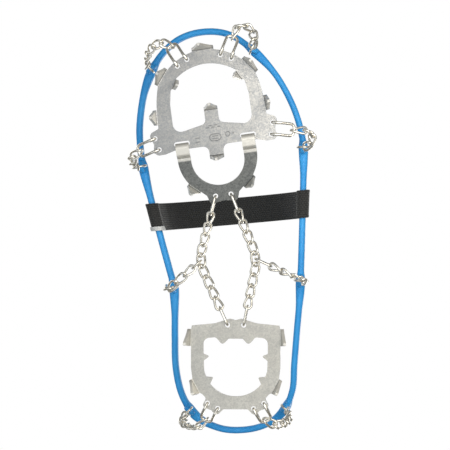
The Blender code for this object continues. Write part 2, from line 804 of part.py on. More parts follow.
def arch_chain(side):
    """Make the chain that ties a junction link to the strand beside the arch."""
    run = "arch_" + side
    way = [Vector(at) for at in RUNS[run].way]
    length, width = FIRST_LINKS[side]
    middle = junction_middle(side)
    away = (way[0] - middle).to_2d().to_3d().normalized()
    reach = length - LINK_WIRE
    hook = (LINK_WIRE - JOIN_OVERLAP) / 2
    start = middle + away * (reach - hook)
    points = [start, *way, ring_bottom(run)]
    spans = run_links(points, RUNS[run].links, LINK_WIRE, away, ring_pull(run))
    along = (spans[0][1] - spans[0][0]).normalized()
    spans[0] = (start - along * hook, spans[0][1])
    across = UP.cross(away)
    first = mesh_of(link_curve(length, 90.0, 90.0, width))
    first.transform(link_frame(middle, middle + away * reach, across))
    joined_links(run + "_chain", spans, across, UP.cross(ring_direction(run)), first)


# ---------------------------------------------------------------- harness

def strand_between(first_y, last_y, sign=0):
    """Return the harness centre line between two Y values, cut exactly at them."""
    route = smooth_route(HARNESS_ROUTE, ROUTE_STEPS, closed=True)

    def inside(at):
        return first_y < at.y < last_y and at.x * sign >= 0

    count = len(route)
    start = next(i for i in range(count) if inside(route[i]) and not inside(route[i - 1]))
    points = []
    while inside(route[start % count]):
        points.append(route[start % count])
        start += 1
    ends = []
    for near, beyond in ((points[0], route[(start - len(points) - 1) % count]),
                         (points[-1], route[start % count])):
        cut = first_y if beyond.y <= first_y else last_y
        ends.append(near.lerp(beyond, (cut - near.y) / (beyond.y - near.y)))
    inner = [at for at in points if min((at - end).length for end in ends) > STRAND_THICKNESS / 2]
    return [ends[0], *inner, ends[1]]


def strand_piece(name, points, lugs=()):
    """Make one stretch of the harness with the ears that its rings hang from."""
    body = mesh_of(wire_curve(points, STRAND_THICKNESS, height=STRAND_HEIGHT))
    tools = [("UNION", lug(run)) for run in lugs] + [("DIFFERENCE", lug_bore(run)) for run in lugs]
    return place(name, mesh_of(body, tools), RUBBER_BLUE)


def lug_axes(run):
    outward = ring_direction(run)
    axes = Matrix((UP.cross(outward), UP, outward)).transposed().to_4x4()
    return Matrix.Translation(lug_hole(run)) @ axes


def lug(run):
    """An ear with a round lower end, which runs up into the strand."""
    points = [(LUG_RADIUS, LUG_DROP), (-LUG_RADIUS, LUG_DROP)]
    for step in range(9):
        turn = math.pi * (1 + step / 8)
        points.append((LUG_RADIUS * math.cos(turn), LUG_RADIUS * math.sin(turn)))
    mesh = flat_sheet([points], LUG_THICKNESS)
    mesh.transform(lug_axes(run))
    return mesh


def lug_bore(run):
    mesh = flat_sheet([circle(0.0, 0.0, LUG_HOLE, 10)], LUG_THICKNESS * 2)
    mesh.transform(lug_axes(run))
    return mesh


def harness():
    far = 1000.0
    front = ("toe_inner", "toe_outer", "side_inner", "side_outer")
    rear = ("heel_inner", "heel_outer", "arch_inner", "arch_outer")
    strand_piece("harness_front", strand_between(FRONT_END_Y, far), front)
    strand_piece("harness_rear", strand_between(-far, REAR_END_Y), rear)
    for name, sign in (("harness_side_inner", 1), ("harness_side_outer", -1)):
        strand_piece(name, strand_between(REAR_END_Y + SIDE_GAP, FRONT_END_Y - SIDE_GAP, sign))


# ---------------------------------------------------------------- strap

# Middle line of the webbing, in X and Z, from the inner strand over the instep
STRAP_ROUTE = [
    (53.0, 64.0), (48.0, 80.0), (37.0, 96.0), (20.5, 107.5), (0.5, 112.0),
    (-18.5, 108.5), (-34.5, 98.0), (-46.4, 82.0), (-52.3, 66.0),
]


def strand_at_strap(sign):
    route = smooth_route(HARNESS_ROUTE, 12, closed=True)
    return min((at for at in route if at.x * sign > 0), key=lambda at: abs(at.y - STRAP_Y))


def strand_section(strand, extra, first=0.0, last=2.0, steps=6):
    """Return part of the outline of the strand's section, grown by some room, in X and Z."""
    radius = STRAND_THICKNESS / 2 + extra
    reach = (STRAND_HEIGHT - STRAND_THICKNESS) / 2
    points = []
    turns = [step / steps for step in range(2 * steps + 1) if first <= step / steps <= last]
    for turn in turns:
        angle = math.pi * turn
        centre = Vector((strand.x, strand.z + math.copysign(reach, math.sin(angle))))
        points.append(centre + Vector((math.cos(angle), math.sin(angle))) * radius)
    return points


def ribbon(line, thickness, offset=0.0):
    """Return the closed outline of a band along a line, to the outside of it by an offset."""
    sides = []
    for shift in (offset - thickness / 2, offset + thickness / 2):
        edge = []
        for index, here in enumerate(line):
            before = line[max(index - 1, 0)]
            after = line[min(index + 1, len(line) - 1)]
            along = (after - before).normalized()
            edge.append(here + Vector((along.y, -along.x)) * shift)
        sides.append(edge)
    return sides[0] + sides[1][::-1]


def upright(loops, width, y):
    """Return a mesh of a flat outline in X and Z that is as wide as given along Y."""
    mesh = flat_sheet(loops, width)
    mesh.transform(Matrix.Translation((0.0, y, 0.0)) @ Matrix.Rotation(math.pi / 2, 4, "X"))
    return mesh


def strand_lean(sign):
    """Return how far the strand shifts in X for each millimetre along Y under the strap."""
    side = [at for at in smooth_route(HARNESS_ROUTE, 12, closed=True) if at.x * sign > 0]
    near = [at for at in side if abs(at.y - STRAP_Y) < STRAP_WIDTH / 2]
    low, high = min(near, key=lambda at: at.y), max(near, key=lambda at: at.y)
    return (high.x - low.x) / (high.y - low.y)


def strap_lean(x):
    """Return the strap's own lean at a place between the two strands."""
    inner, outer = (strand_at_strap(sign) for sign in (1, -1))
    share = (x - outer.x) / (inner.x - outer.x)
    return strand_lean(-1) + (strand_lean(1) - strand_lean(-1)) * share


def follow_strands(mesh):
    """Skew the strap's mesh so that each end lies square across its own strand."""
    ends = [strand_at_strap(sign).x for sign in (-1, 1)]
    leans = [strap_lean(x) for x in ends]
    for vert in mesh.vertices:
        share = (vert.co.x - ends[0]) / (ends[1] - ends[0])
        lean = leans[0] + (leans[1] - leans[0]) * share
        vert.co.x += lean * (vert.co.y - STRAP_Y)
    return mesh


def strap_line():
    above = STRAND_HEIGHT / 2 + STRAP_LOOP_GAP + STRAP_THICKNESS / 2
    feet = [strand_at_strap(sign) for sign in (1, -1)]
    ends = [(foot.x, foot.z + above, 0.0) for foot in feet]
    route = [ends[0], *((x, z, 0.0) for x, z in STRAP_ROUTE), ends[1]]
    return [at.xy for at in smooth_route(route, 2)]


def tail_hinge():
    """Return the place, in X and Z, where the tail's inner face leaves the webbing."""
    line = strap_line()
    along = (line[TAIL_START + 1] - line[TAIL_START]).normalized()
    return line[TAIL_START] + Vector((along.y, -along.x)) * (STRAP_THICKNESS / 2 + FLAP_GAP)


def strap():
    line = strap_line()
    arch = upright([ribbon(line, STRAP_THICKNESS)], STRAP_WIDTH, STRAP_Y)
    loops = []
    for sign in (1, -1):
        strand = strand_at_strap(sign)
        outer = strand_section(strand, STRAP_LOOP_GAP + STRAP_THICKNESS)[:-1]
        inner = strand_section(strand, STRAP_LOOP_GAP)[:-1]
        loops.append(upright([outer, inner], STRAP_WIDTH, STRAP_Y))
    webbing = mesh_of(arch, [("UNION", loop) for loop in loops])
    place("strap_webbing", follow_strands(webbing), WEBBING_BLACK)
    hinge = tail_hinge()
    tail_line = line[TAIL_START:TAIL_END]
    lift = STRAP_THICKNESS + FLAP_GAP
    tail = upright([ribbon(tail_line, STRAP_THICKNESS, lift)], STRAP_WIDTH, STRAP_Y)
    origin = Vector((hinge.x, STRAP_Y, hinge.y))
    follow_strands(tail).transform(Matrix.Translation(-origin))
    place("strap_tail", tail, WEBBING_BLACK, Matrix.Translation(origin))
    strand = strand_at_strap(1)
    room = STRAP_LOOP_GAP + STRAP_THICKNESS + CHAIN_GAP
    near = strand_section(strand, room, 0.99, 2.01)
    far = strand_section(strand, room + STRIPE_THICKNESS, 0.99, 2.01)
    edge = near + far[::-1]
    stripe = upright([edge], STRIPE_WIDTH, STRAP_Y - (STRAP_WIDTH - STRIPE_WIDTH) / 2)
    place("strap_stripe", follow_strands(stripe), REFLECTIVE)


# ---------------------------------------------------------------- whole part

def main():
    clear_scene()
    part_collection()
    forefoot_plate()
    flex_plate()
    heel_plate()
    for name in BAILS:
        wire_bail(name)
    for side in JUNCTIONS:
        centre_chain(side)
    for name in BAILS:
        side_chain(name)
    for run in RUNS:
        ring(run)
    for side in JUNCTIONS:
        arch_chain(side)
    harness()
    strap()


main()
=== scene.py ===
"""Detailed look of a chain-and-plate crampon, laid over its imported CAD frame.

Sizes are in millimetres and are turned into metres when a piece is made. X points
to the inner side of the foot, Y to the toe and Z up; the spikes stand on Z = 0.
"""

import math
from collections import namedtuple

import bmesh
import bpy
from mathutils import Matrix, Vector


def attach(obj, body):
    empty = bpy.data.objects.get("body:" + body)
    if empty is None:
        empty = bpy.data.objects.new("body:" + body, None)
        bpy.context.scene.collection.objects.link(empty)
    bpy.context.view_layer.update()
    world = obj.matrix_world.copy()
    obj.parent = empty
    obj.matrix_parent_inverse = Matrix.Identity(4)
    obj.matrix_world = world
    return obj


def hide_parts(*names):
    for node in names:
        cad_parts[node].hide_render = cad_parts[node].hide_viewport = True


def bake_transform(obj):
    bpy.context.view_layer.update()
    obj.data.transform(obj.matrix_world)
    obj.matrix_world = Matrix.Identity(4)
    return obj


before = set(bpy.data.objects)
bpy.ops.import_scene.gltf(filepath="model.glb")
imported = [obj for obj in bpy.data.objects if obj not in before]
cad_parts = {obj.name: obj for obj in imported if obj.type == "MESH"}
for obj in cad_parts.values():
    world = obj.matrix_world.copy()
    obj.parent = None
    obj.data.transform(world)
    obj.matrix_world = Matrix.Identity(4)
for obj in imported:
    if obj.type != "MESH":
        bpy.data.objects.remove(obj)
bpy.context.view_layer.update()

MM = 0.001
UP = Vector((0.0, 0.0, 1.0))

# The middle of the whole part in the sketch's X and Y, which is the frame's origin
PART_MIDDLE = Vector((-0.55, -1.75, 0.0))

# Camera: it looks up at the spikes, from a little towards the outer side
AIM = Vector((1.55, 4.85, 11.0))
IMAGE_UP_TURN = 5.0
CAMERA_TILT = 5.0
CAMERA_DISTANCE = 1600.0
FIELD_WIDTH = 317.7
SENSOR_WIDTH = 36.0

# Light from all round the studio: place from straight down (0) to straight up (1), colour
STUDIO_TONES = (
    (0.0, (0.41, 0.425, 0.445)),
    (0.1, (0.39, 0.405, 0.42)),
    (0.2, (0.34, 0.34, 0.345)),
    (0.32, (0.2, 0.2, 0.19)),
    (0.5, (0.17, 0.17, 0.16)),
    (0.7, (0.22, 0.22, 0.21)),
    (0.88, (0.6, 0.6, 0.59)),
    (1.0, (0.62, 0.63, 0.64)),
)

# Plates
SPIKE_HEIGHT = 10.0
PLATE_THICKNESS = 2.0
PLATE_MIDDLE = SPIKE_HEIGHT + PLATE_THICKNESS / 2
FLEX_THICKNESS = 1.6
BEND_RADIUS = 0.8
BEND_STEPS = 7
SPIKE_LEAN = 12.0
SPIKE_TIP = 2.2
SPIKE_STEPS = 6
EDGE_ROUNDING = 0.35
# Angles in degrees from which an edge is shaded sharp, and from which it is rounded off
SHARP_FROM = 38.0
ROUNDED_FROM = 42.0
CORNER_STEPS_PER_RADIAN = 7.0
# How near points are to count as one, a side as no side, and a face's end as the wanted end
WELD_DISTANCE = 0.002
SLIVER_LENGTH = 0.001
EDGE_MATCH = 0.01
HOLE_RADIUS = 1.8
FOREFOOT_AT = (2.9, 64.0)
FOREFOOT_TURN = -2.8
HEEL_AT = (2.1, -96.0)
HEEL_TURN = 5.0
MARK_DEPTH = 0.35
# A hair's slope that keeps corners off one line, because filling a sheet skips such corners
OFF_LINE = 0.001

# Slots in the forefoot plate, and the hooks of the flex plate that turn in them
SLOT_X = 23.6
SLOT_LENGTH = 11.4
SLOT_WIDTH = 3.6
STRIP_REAR = -4.0
PIVOT_Y = (STRIP_REAR - SLOT_WIDTH / 2) / 2
ARM_END_Y = -10.5
HOOK_RADIUS = 1.9
HOOK_TIP = 1.4
FLEX_TILT = -12.0
FLEX_HOLE_X = 5.5
FLEX_HOLE_Y = -40.3

# Which way each side of the foot lies along X
SIDES = {"inner": 1, "outer": -1}

# Wire and chain
BAIL_WIRE = 2.0
LINK_WIRE = 1.7
LINK_WIDTH = 7.2
RING_WIRE = 1.8
# The ring is drawn this much thinner than in the CAD, so that it clears its link as it swings
RING_PLAY = 0.1
CHAIN_GAP = 0.3
BAIL_GAP = 0.6
BAIL_ROOM_ABOVE = 0.7
BAIL_ROOM_BELOW = 0.5
JUNCTION_ROOM = 0.5
LINK_PLAY = 0.12
HOOK_REACH = (LINK_WIRE + LINK_PLAY) / 2
STEP_BACK = LINK_WIRE + CHAIN_GAP
END_LINK_LENGTH = 15.6
END_LINK_WIDTH = LINK_WIDTH + 0.6
SMALL_LINKS_EACH_SIDE = 4
WIRE_RESOLUTION = 4

# Harness
STRAND_THICKNESS = 4.6
STRAND_HEIGHT = 9.0
LUG_RADIUS = 4.3
LUG_HOLE = 2.4
LUG_THICKNESS = 2.6
LUG_DROP = 7.6
LUG_FLARE = 1.35
BEAD_INSET = 0.95
BEAD_WIRE = 1.9
BEAD_DEPTH_RATIO = 1.9
LUG_RING = 4.7
RING_TILT = 14.0
RUBBER_VOXEL = 0.6
SWELL = 0.5
SWELL_TOEWARD = 7.0
SWELL_HEELWARD = 24.0

# Strap over the instep
STRAP_Y = 13.5
STRAP_WIDTH = 20.0
STRAP_THICKNESS = 1.6
STRAP_LOOP_GAP = 0.8
FLAP_GAP = 0.5
STRIPE_WIDTH = 3.0
TAIL_START = 3
TAIL_END = 16
STITCH_STEP = 2.4
STITCH_ROW = [k * STITCH_STEP for k in range(-3, 4)]

# Centre line of the harness: toe, inner side, heel, outer side
HARNESS_ROUTE = [
    (7.5, 144.0, 50.0), (26.5, 140.0, 50.0), (42.5, 127.0, 50.0), (53.5, 107.0, 49.5),
    (59.5, 83.0, 49.0), (60.7, 63.0, 48.5), (59.3, 46.0, 48.0), (56.0, 25.0, 48.5),
    (51.6, -2.0, 49.0), (47.2, -25.0, 47.5), (45.0, -38.0, 46.5), (45.8, -55.0, 47.5),
    (47.7, -74.0, 50.0), (49.3, -97.0, 53.0), (46.7, -118.0, 58.0), (38.5, -134.0, 65.0),
    (23.2, -144.5, 73.0), (6.0, -147.5, 77.0), (-11.0, -144.5, 73.0), (-24.7, -135.5, 65.0),
    (-33.4, -120.0, 58.0), (-36.7, -101.0, 53.0), (-41.3, -75.0, 49.0), (-45.0, -55.0, 46.0),
    (-46.9, -41.0, 44.5), (-48.8, -25.0, 46.0), (-51.7, 1.0, 48.5), (-54.4, 25.0, 48.5),
    (-56.4, 45.0, 48.0), (-56.8, 63.0, 48.5), (-52.0, 85.0, 49.0), (-41.8, 108.0, 49.5),
    (-27.0, 127.0, 50.0), (-11.3, 140.0, 50.0),
]

# Middle line of the webbing, in X and Z, from the inner strand over the instep
STRAP_ROUTE = [
    (53.0, 64.0), (48.0, 80.0), (37.0, 96.0), (20.5, 107.5), (0.5, 112.0),
    (-18.5, 108.5), (-34.5, 98.0), (-46.4, 82.0), (-52.3, 66.0),
]


# Metal where it was cut or rubbed, and so has no dull skin; on the spike flanks this light tone is a painted
# highlight that makes them read bright
BARE_STEEL_AND_SPIKE_HIGHLIGHT = (0.8, 0.78, 0.72)


# ---------------- materials

class Paint:
    """A procedural material, built node by node."""

    def __init__(self, name, colour, roughness, metallic=0.0):
        self.material = bpy.data.materials.new(name)
        self.material.use_nodes = True
        self.tree = self.material.node_tree
        self.shader = self.tree.nodes["Principled BSDF"]
        self.shader.inputs["Base Color"].default_value = (*colour, 1.0)
        self.shader.inputs["Roughness"].default_value = roughness
        self.shader.inputs["Metallic"].default_value = metallic
        self.place = self.tree.nodes.new("ShaderNodeTexCoord")

    def fill(self, sockets, values):
        """Give each socket a number or a colour, or link it to another node's socket."""
        for socket, value in zip(sockets, values):
            if isinstance(value, bpy.types.NodeSocket):
                self.tree.links.new(value, socket)
            else:
                socket.default_value = (*value, 1.0) if isinstance(value, tuple) else value

    def node(self, kind, **inputs):
        made = self.tree.nodes.new("ShaderNode" + kind)
        self.fill((made.inputs[name] for name in inputs), inputs.values())
        return made

    def noise(self, scale, detail=3.0, vector=None):
        vector = vector or self.place.outputs["Object"]
        return self.node("TexNoise", Vector=vector, Scale=scale, Detail=detail).outputs["Fac"]

    def range(self, value, low, high, to_low, to_high):
        made = self.node("MapRange", Value=value)
        ends = (made.inputs[name] for name in ("From Min", "From Max", "To Min", "To Max"))
        self.fill(ends, (low, high, to_low, to_high))
        return made.outputs["Result"]

    def patches(self, scale, detail, *ends):
        """Return noise whose values between the first two ends run between the last two."""
        return self.range(self.noise(scale, detail), *ends)

    def mix(self, share, first, second):
        made = self.tree.nodes.new("ShaderNodeMix")
        made.data_type = "RGBA"
        self.fill((made.inputs[0], made.inputs[6], made.inputs[7]), (share, first, second))
        return made.outputs[2]

    def math(self, operation, first, second):
        made = self.tree.nodes.new("ShaderNodeMath")
        made.operation = operation
        self.fill(made.inputs, (first, second))
        return made.outputs[0]

    def link(self, socket, name):
        self.tree.links.new(socket, self.shader.inputs[name])

    def bump(self, height, depth, strength=1.0, before=None):
        """Give the surface relief that is depth millimetres deep where height goes from 0 to 1."""
        made = self.node("Bump", Height=height, Strength=strength, Distance=depth * MM)
        if before:
            self.tree.links.new(before, made.inputs["Normal"])
        self.link(made.outputs["Normal"], "Normal")
        return made.outputs["Normal"]


def steel(name, dark, light, rough, grain, speckle_size, rubbed_from=None):
    """Sheet steel with a crystalline speckle, rolling lines, stains, scuffs and bright tips, a painted
    highlight on the spike flanks and painted shade in the stamped marks.

    Where rubbed_from is given, the metal is rubbed bright from there on along Y.
    """
    paint = Paint(name, light, rough, 1.0)
    per_metre = 1000.0 / speckle_size
    speckle = paint.noise(per_metre, 4.0)
    crystal = paint.node("TexVoronoi", Vector=paint.place.outputs["Object"], Scale=per_metre * 0.8)
    facet = paint.node("SeparateColor", Color=crystal.outputs["Color"]).outputs[0]
    grains = paint.math("ADD", paint.math("MULTIPLY", facet, 0.35), paint.math("MULTIPLY", speckle, 0.65))
    share = paint.range(grains, 0.3, 0.7, 0.0, 1.0)
    stain = paint.patches(45.0, 5.0, 0.35, 0.7, 0.0, 0.35)
    colour = paint.mix(share, dark, light)
    darker = tuple(part * 0.72 for part in dark)
    split = paint.node("SeparateXYZ", Vector=paint.place.outputs["Object"])
    height, along = split.outputs["Z"], split.outputs["Y"]
    worn = paint.range(height, -7.0 * MM, -10.5 * MM, 0.0, 1.0)
    spike_flank_and_highlight = paint.range(height, -1.2 * MM, -3.0 * MM, 0.0, 1.0)
    paint.link(paint.range(spike_flank_and_highlight, 0.0, 1.0, 0.8, 0.55), "Metallic")
    polished = tuple(min(1.0, part * 1.2) for part in light)
    # Painted shade: the floors and walls of the stamped marks, and the plate rims and hole walls at that
    # height, are darkened to 0.4 of the dark tone
    into = paint.range(height, -0.97 * MM, -0.75 * MM, 0.0, 1.0)
    painted_mark_shade = paint.math("MULTIPLY", into, paint.range(height, -0.55 * MM, -0.35 * MM, 0.55, 0.0))
    colour = paint.mix(painted_mark_shade, paint.mix(stain, colour, darker), tuple(part * 0.4 for part in dark))
    # Painted highlight: the spike flanks are lightened towards bare steel so that they read bright
    colour = paint.mix(paint.math("MULTIPLY", spike_flank_and_highlight, 0.75), colour, BARE_STEEL_AND_SPIKE_HIGHLIGHT)
    if rubbed_from:
        rubbed = paint.range(along, (rubbed_from - 1.0) * MM, rubbed_from * MM, 0.0, 0.9)
        colour = paint.mix(rubbed, colour, BARE_STEEL_AND_SPIKE_HIGHLIGHT)
    paint.link(paint.mix(worn, colour, polished), "Base Color")
    stretched = paint.node("Mapping", Vector=paint.place.outputs["Object"])
    stretched.inputs["Scale"].default_value = (1.0, 0.06, 1.0)
    lines = paint.noise(900.0, 2.0, stretched.outputs["Vector"])
    scuffs = paint.patches(160.0, 6.0, 0.5, 0.75, 0.0, 0.16)
    rough_mix = paint.math("ADD", paint.range(share, 0.0, 1.0, rough + grain, rough - grain), scuffs)
    rough_mix = paint.math("ADD", rough_mix, paint.range(spike_flank_and_highlight, 0.0, 1.0, 0.0, 0.06))
    paint.link(rough_mix, "Roughness")
    first = paint.bump(grains, 0.05 * grain / 0.08)
    paint.bump(lines, 0.012, 1.0, first)
    return paint.material


def edge_steel():
    """The rounded rims of the plates, tumbled bright."""
    paint = Paint("edge_steel", BARE_STEEL_AND_SPIKE_HIGHLIGHT, 0.3, 0.45)
    nicks = paint.patches(600.0, 4.0, 0.35, 0.7, 0.0, 0.5)
    paint.link(paint.mix(nicks, (0.78, 0.76, 0.71), (0.5, 0.48, 0.44)), "Base Color")
    paint.link(paint.patches(900.0, 3.0, 0.3, 0.7, 0.22, 0.42), "Roughness")
    paint.bump(paint.noise(1500.0, 3.0), 0.03)
    return paint.material


def nickel():
    """Bright plated wire, with darker tarnish in patches and fine drawing marks."""
    paint = Paint("nickel_wire", (0.78, 0.73, 0.62), 0.2, 1.0)
    tarnish = paint.patches(260.0, 5.0, 0.42, 0.72, 0.0, 0.6)
    paint.link(paint.mix(tarnish, (0.93, 0.9, 0.82), (0.56, 0.51, 0.42)), "Base Color")
    paint.link(paint.patches(700.0, 4.0, 0.3, 0.7, 0.2, 0.38), "Roughness")
    paint.bump(paint.noise(1300.0, 3.0), 0.025)
    return paint.material


def rubber():
    """Blue elastic moulding: matt skin, faint cloudiness and pores."""
    paint = Paint("harness_rubber", (0.02, 0.3, 0.78), 0.5)
    cloud = paint.patches(70.0, 4.0, 0.3, 0.7, 0.0, 1.0)
    paint.link(paint.mix(cloud, (0.02, 0.33, 0.82), (0.045, 0.42, 0.93)), "Base Color")
    paint.link(paint.patches(500.0, 4.0, 0.3, 0.7, 0.4, 0.58), "Roughness")
    paint.bump(paint.noise(1800.0, 2.0), 0.04)
    return paint.material


def woven(name, dark, light, along, across, depth, roughness=0.85):
    """Webbing woven in rows: along and across are the sizes of one yarn, in UV millimetres."""
    paint = Paint(name, light, roughness)
    flat = paint.node("SeparateXYZ", Vector=paint.place.outputs["UV"])
    turns = []
    for axis, size in (("X", along), ("Y", across)):
        turns.append(paint.math("MULTIPLY", flat.outputs[axis], math.pi / size))
    warp = paint.math("ABSOLUTE", paint.math("SINE", turns[1], 0.0), 0.0)
    row = paint.math("SIGN", paint.math("SINE", turns[1], 0.0), 0.0)
    shifted = paint.math("ADD", turns[0], paint.math("MULTIPLY", row, math.pi / 4))
    weft = paint.math("ABSOLUTE", paint.math("SINE", shifted, 0.0), 0.0)
    yarn = paint.math("MULTIPLY", warp, weft)
    lint = paint.patches(900.0, 5.0, 0.3, 0.7, 0.0, 0.4)
    colour = paint.mix(paint.range(yarn, 0.0, 0.8, 0.0, 1.0), dark, light)
    paint.link(paint.mix(lint, colour, tuple(part * 1.6 + 0.01 for part in light)), "Base Color")
    paint.shader.inputs["Sheen Weight"].default_value = 0.25
    paint.shader.inputs["Sheen Roughness"].default_value = 0.4
    first = paint.bump(yarn, depth)
    paint.bump(paint.noise(2600.0, 3.0), 0.06, 1.0, first)
    return paint.material


def reflective():
    """Light grey tape with the fine lattice of a retroreflective film."""
    paint = Paint("reflective_tape", (0.66, 0.67, 0.66), 0.35)
    cells = paint.node("TexVoronoi", Vector=paint.place.outputs["UV"], Scale=1.6)
    cells.feature = "DISTANCE_TO_EDGE"
    edge = paint.range(cells.outputs["Distance"], 0.0, 0.12, 0.0, 1.0)
    paint.link(paint.mix(edge, (0.5, 0.51, 0.5), (0.74, 0.75, 0.74)), "Base Color")
    paint.link(paint.patches(400.0, 3.0, 0.3, 0.7, 0.28, 0.45), "Roughness")
    paint.shader.inputs["Coat Weight"].default_value = 0.4
    paint.bump(edge, 0.05)
    return paint.material


def fuzz():
    """Hook-and-loop pile."""
    paint = Paint("hook_pile", (0.03, 0.03, 0.032), 0.95)
    pile = paint.node("TexVoronoi", Vector=paint.place.outputs["UV"], Scale=1.3).outputs["Distance"]
    paint.link(paint.mix(pile, (0.012, 0.012, 0.013), (0.06, 0.06, 0.062)), "Base Color")
    paint.shader.inputs["Sheen Weight"].default_value = 0.5
    paint.bump(pile, 0.35)
    return paint.material


MATERIALS = {
    "forefoot": steel("forefoot_steel", (0.38, 0.39, 0.4), (0.58, 0.57, 0.54), 0.33, 0.05, 0.85),
    "flex": steel("flex_steel", (0.19, 0.2, 0.195), (0.4, 0.405, 0.385), 0.38, 0.07, 0.9, -9.0),
    "edge": edge_steel(),
    "heel": steel("heel_steel", (0.53, 0.52, 0.48), (0.7, 0.68, 0.62), 0.36, 0.03, 0.9),
    "nickel": nickel(),
    "rubber": rubber(),
    "webbing": woven("strap_webbing", (0.006, 0.006, 0.006), (0.034, 0.034, 0.032), 2.0, 1.5, 0.3),
    "thread": woven("strap_thread", (0.02, 0.02, 0.02), (0.07, 0.07, 0.068), 0.4, 0.4, 0.05, 0.6),
    "tape": reflective(),
    "pile": fuzz(),
}


# ---------------- making pieces

def added(name, data):
    """Make an object from its data and put it in the scene."""
    thing = bpy.data.objects.new(name, data)
    bpy.context.scene.collection.objects.link(thing)
    return thing


def place(name, mesh, material, matrix=Matrix()):
    """Make an object from a mesh in millimetres, smooth except at its sharp edges."""
    mesh.transform(Matrix.Scale(MM, 4))
    mesh.shade_smooth()
    mesh.set_sharp_from_angle(angle=math.radians(SHARP_FROM))
    thing = added(name, mesh)
    at = matrix.copy()
    at.translation = (at.translation - PART_MIDDLE) * MM
    thing.matrix_world = at
    mesh.materials.clear()
    mesh.materials.append(MATERIALS[material])
    return thing


def stand_for(thing, body, *nodes):
    """The piece rides on a body and stands for CAD nodes."""
    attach(thing, body)
    if nodes:
        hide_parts(*nodes)


def fitted(node, mesh, material, matrix=Matrix(), body=None):
    """Place the detailed form of a CAD node; it rides on the body of that name, if no other."""
    stand_for(place(node + "_fine", mesh, material, matrix), body or node, node)


def round_edges(thing):
    bevel = thing.modifiers.new("edges", "BEVEL")
    bevel.width = EDGE_ROUNDING * MM
    bevel.segments = 3
    bevel.limit_method = "ANGLE"
    bevel.angle_limit = math.radians(ROUNDED_FROM)
    bevel.harden_normals = True
    thing.data.materials.append(MATERIALS["edge"])
    bevel.material = 1


def evaluated(holder):
    """Return the mesh that an object's modifiers give, and remove the object."""
    graph = bpy.context.evaluated_depsgraph_get()
    mesh = bpy.data.meshes.new_from_object(holder.evaluated_get(graph))
    bpy.data.objects.remove(holder, do_unlink=True)
    return mesh


def mesh_of(data, cutters=()):
    """Return the mesh that curve or mesh data gives, with cutters taken out of it."""
    holder = added("holder", data)
    tools = [added("tool", cutter) for cutter in cutters]
    for tool in tools:
        boolean = holder.modifiers.new("cut", "BOOLEAN")
        boolean.operation = "DIFFERENCE"
        boolean.solver = "EXACT"
        boolean.object = tool
    mesh = evaluated(holder)
    for tool in tools:
        bpy.data.objects.remove(tool, do_unlink=True)
    return welded(mesh)


def edited(mesh, work):
    """Change a mesh by a function of its bmesh, and turn its faces outward."""
    bm = bmesh.new()
    bm.from_mesh(mesh)
    work(bm)
    bmesh.ops.recalc_face_normals(bm, faces=bm.faces)
    bm.to_mesh(mesh)
    bm.free()
    return mesh


def welded(mesh):
    """Join points that lie together, and drop the slivers that this leaves."""
    def work(bm):
        bmesh.ops.remove_doubles(bm, verts=bm.verts, dist=WELD_DISTANCE)
        bmesh.ops.dissolve_degenerate(bm, dist=SLIVER_LENGTH, edges=bm.edges)

    return edited(mesh, work)


def mesh_from(bm):
    """Return a new mesh that holds a bmesh, and free the bmesh."""
    mesh = bpy.data.meshes.new("mesh")
    bm.to_mesh(mesh)
    bm.free()
    return mesh


def merged(meshes):
    """Put several meshes in one, without joining their surfaces."""
    bm = bmesh.new()
    for mesh in meshes:
        bm.from_mesh(mesh)
    return mesh_from(bm)


# ---------------- outlines and curves

def rounded(corners):
    """Turn corners (x, y) or (x, y, radius) into outline points with round corners."""
    points = []
    for index, corner in enumerate(corners):
        here = Vector(corner[:2])
        if len(corner) == 2:
            points.append(here)
            continue
        before = (Vector(corners[index - 1][:2]) - here).normalized()
        after = (Vector(corners[(index + 1) % len(corners)][:2]) - here).normalized()
        opening = before.angle(after)
        middle = here + (before + after).normalized() * corner[2] / math.sin(opening / 2)
        first = here + before * corner[2] / math.tan(opening / 2) - middle
        sweep = math.pi - opening
        if before.cross(after) > 0:
            sweep = -sweep
        steps = max(4, round(abs(sweep) * CORNER_STEPS_PER_RADIAN))
        for step in range(steps + 1):
            turn = Matrix.Rotation(sweep * step / steps, 2)
            points.append(middle + turn @ first)
    return points


def arc(start, through, end, steps):
    """Return the inner points of the circular arc that passes through three points."""
    a, b, c = Vector(start), Vector(through), Vector(end)
    ab, ac = b - a, c - a
    double_area = 2 * ab.cross(ac)
    centre = a + Vector((
        ac.y * ab.length_squared - ab.y * ac.length_squared,
        ab.x * ac.length_squared - ac.x * ab.length_squared,
    )) / double_area
    first = a - centre
    sweep = first.angle_signed(c - centre) * -1.0
    return [tuple(centre + Matrix.Rotation(sweep * i / steps, 2) @ first) for i in range(1, steps)]


def mirrored(half):
    """Close an outline given on X >= 0, from its top on the middle line to its bottom."""
    other = [(-x, y, *rest) for x, y, *rest in reversed(half) if x > 0.001]
    return half + other


def circle(x, y, radius, steps=28):
    return [
        Vector((x + radius * math.cos(turn), y + radius * math.sin(turn)))
        for turn in (2 * math.pi * i / steps for i in range(steps))
    ]


def slot(x, y, length, width, steps=9):
    """Return the outline of a slot with round ends that runs along X."""
    reach = (length - width) / 2
    points = []
    for side in (1, -1):
        for step in range(steps + 1):
            turn = math.pi * (step / steps - 0.5)
            offset = Vector((reach + width / 2 * math.cos(turn), width / 2 * math.sin(turn)))
            points.append(Vector((x, y)) + offset * side)
    return points


def flat_sheet(loops, thickness):
    """Return a mesh of a flat sheet, centred on Z = 0, from an outline and its holes."""
    curve = bpy.data.curves.new("outline", "CURVE")
    curve.dimensions = "2D"
    curve.fill_mode = "BOTH"
    curve.extrude = thickness / 2
    for loop in loops:
        spline = curve.splines.new("POLY")
        spline.points.add(len(loop) - 1)
        for point, at in zip(spline.points, loop):
            point.co = (at[0], at[1], 0.0, 1.0)
        spline.use_cyclic_u = True
    return mesh_of(curve)


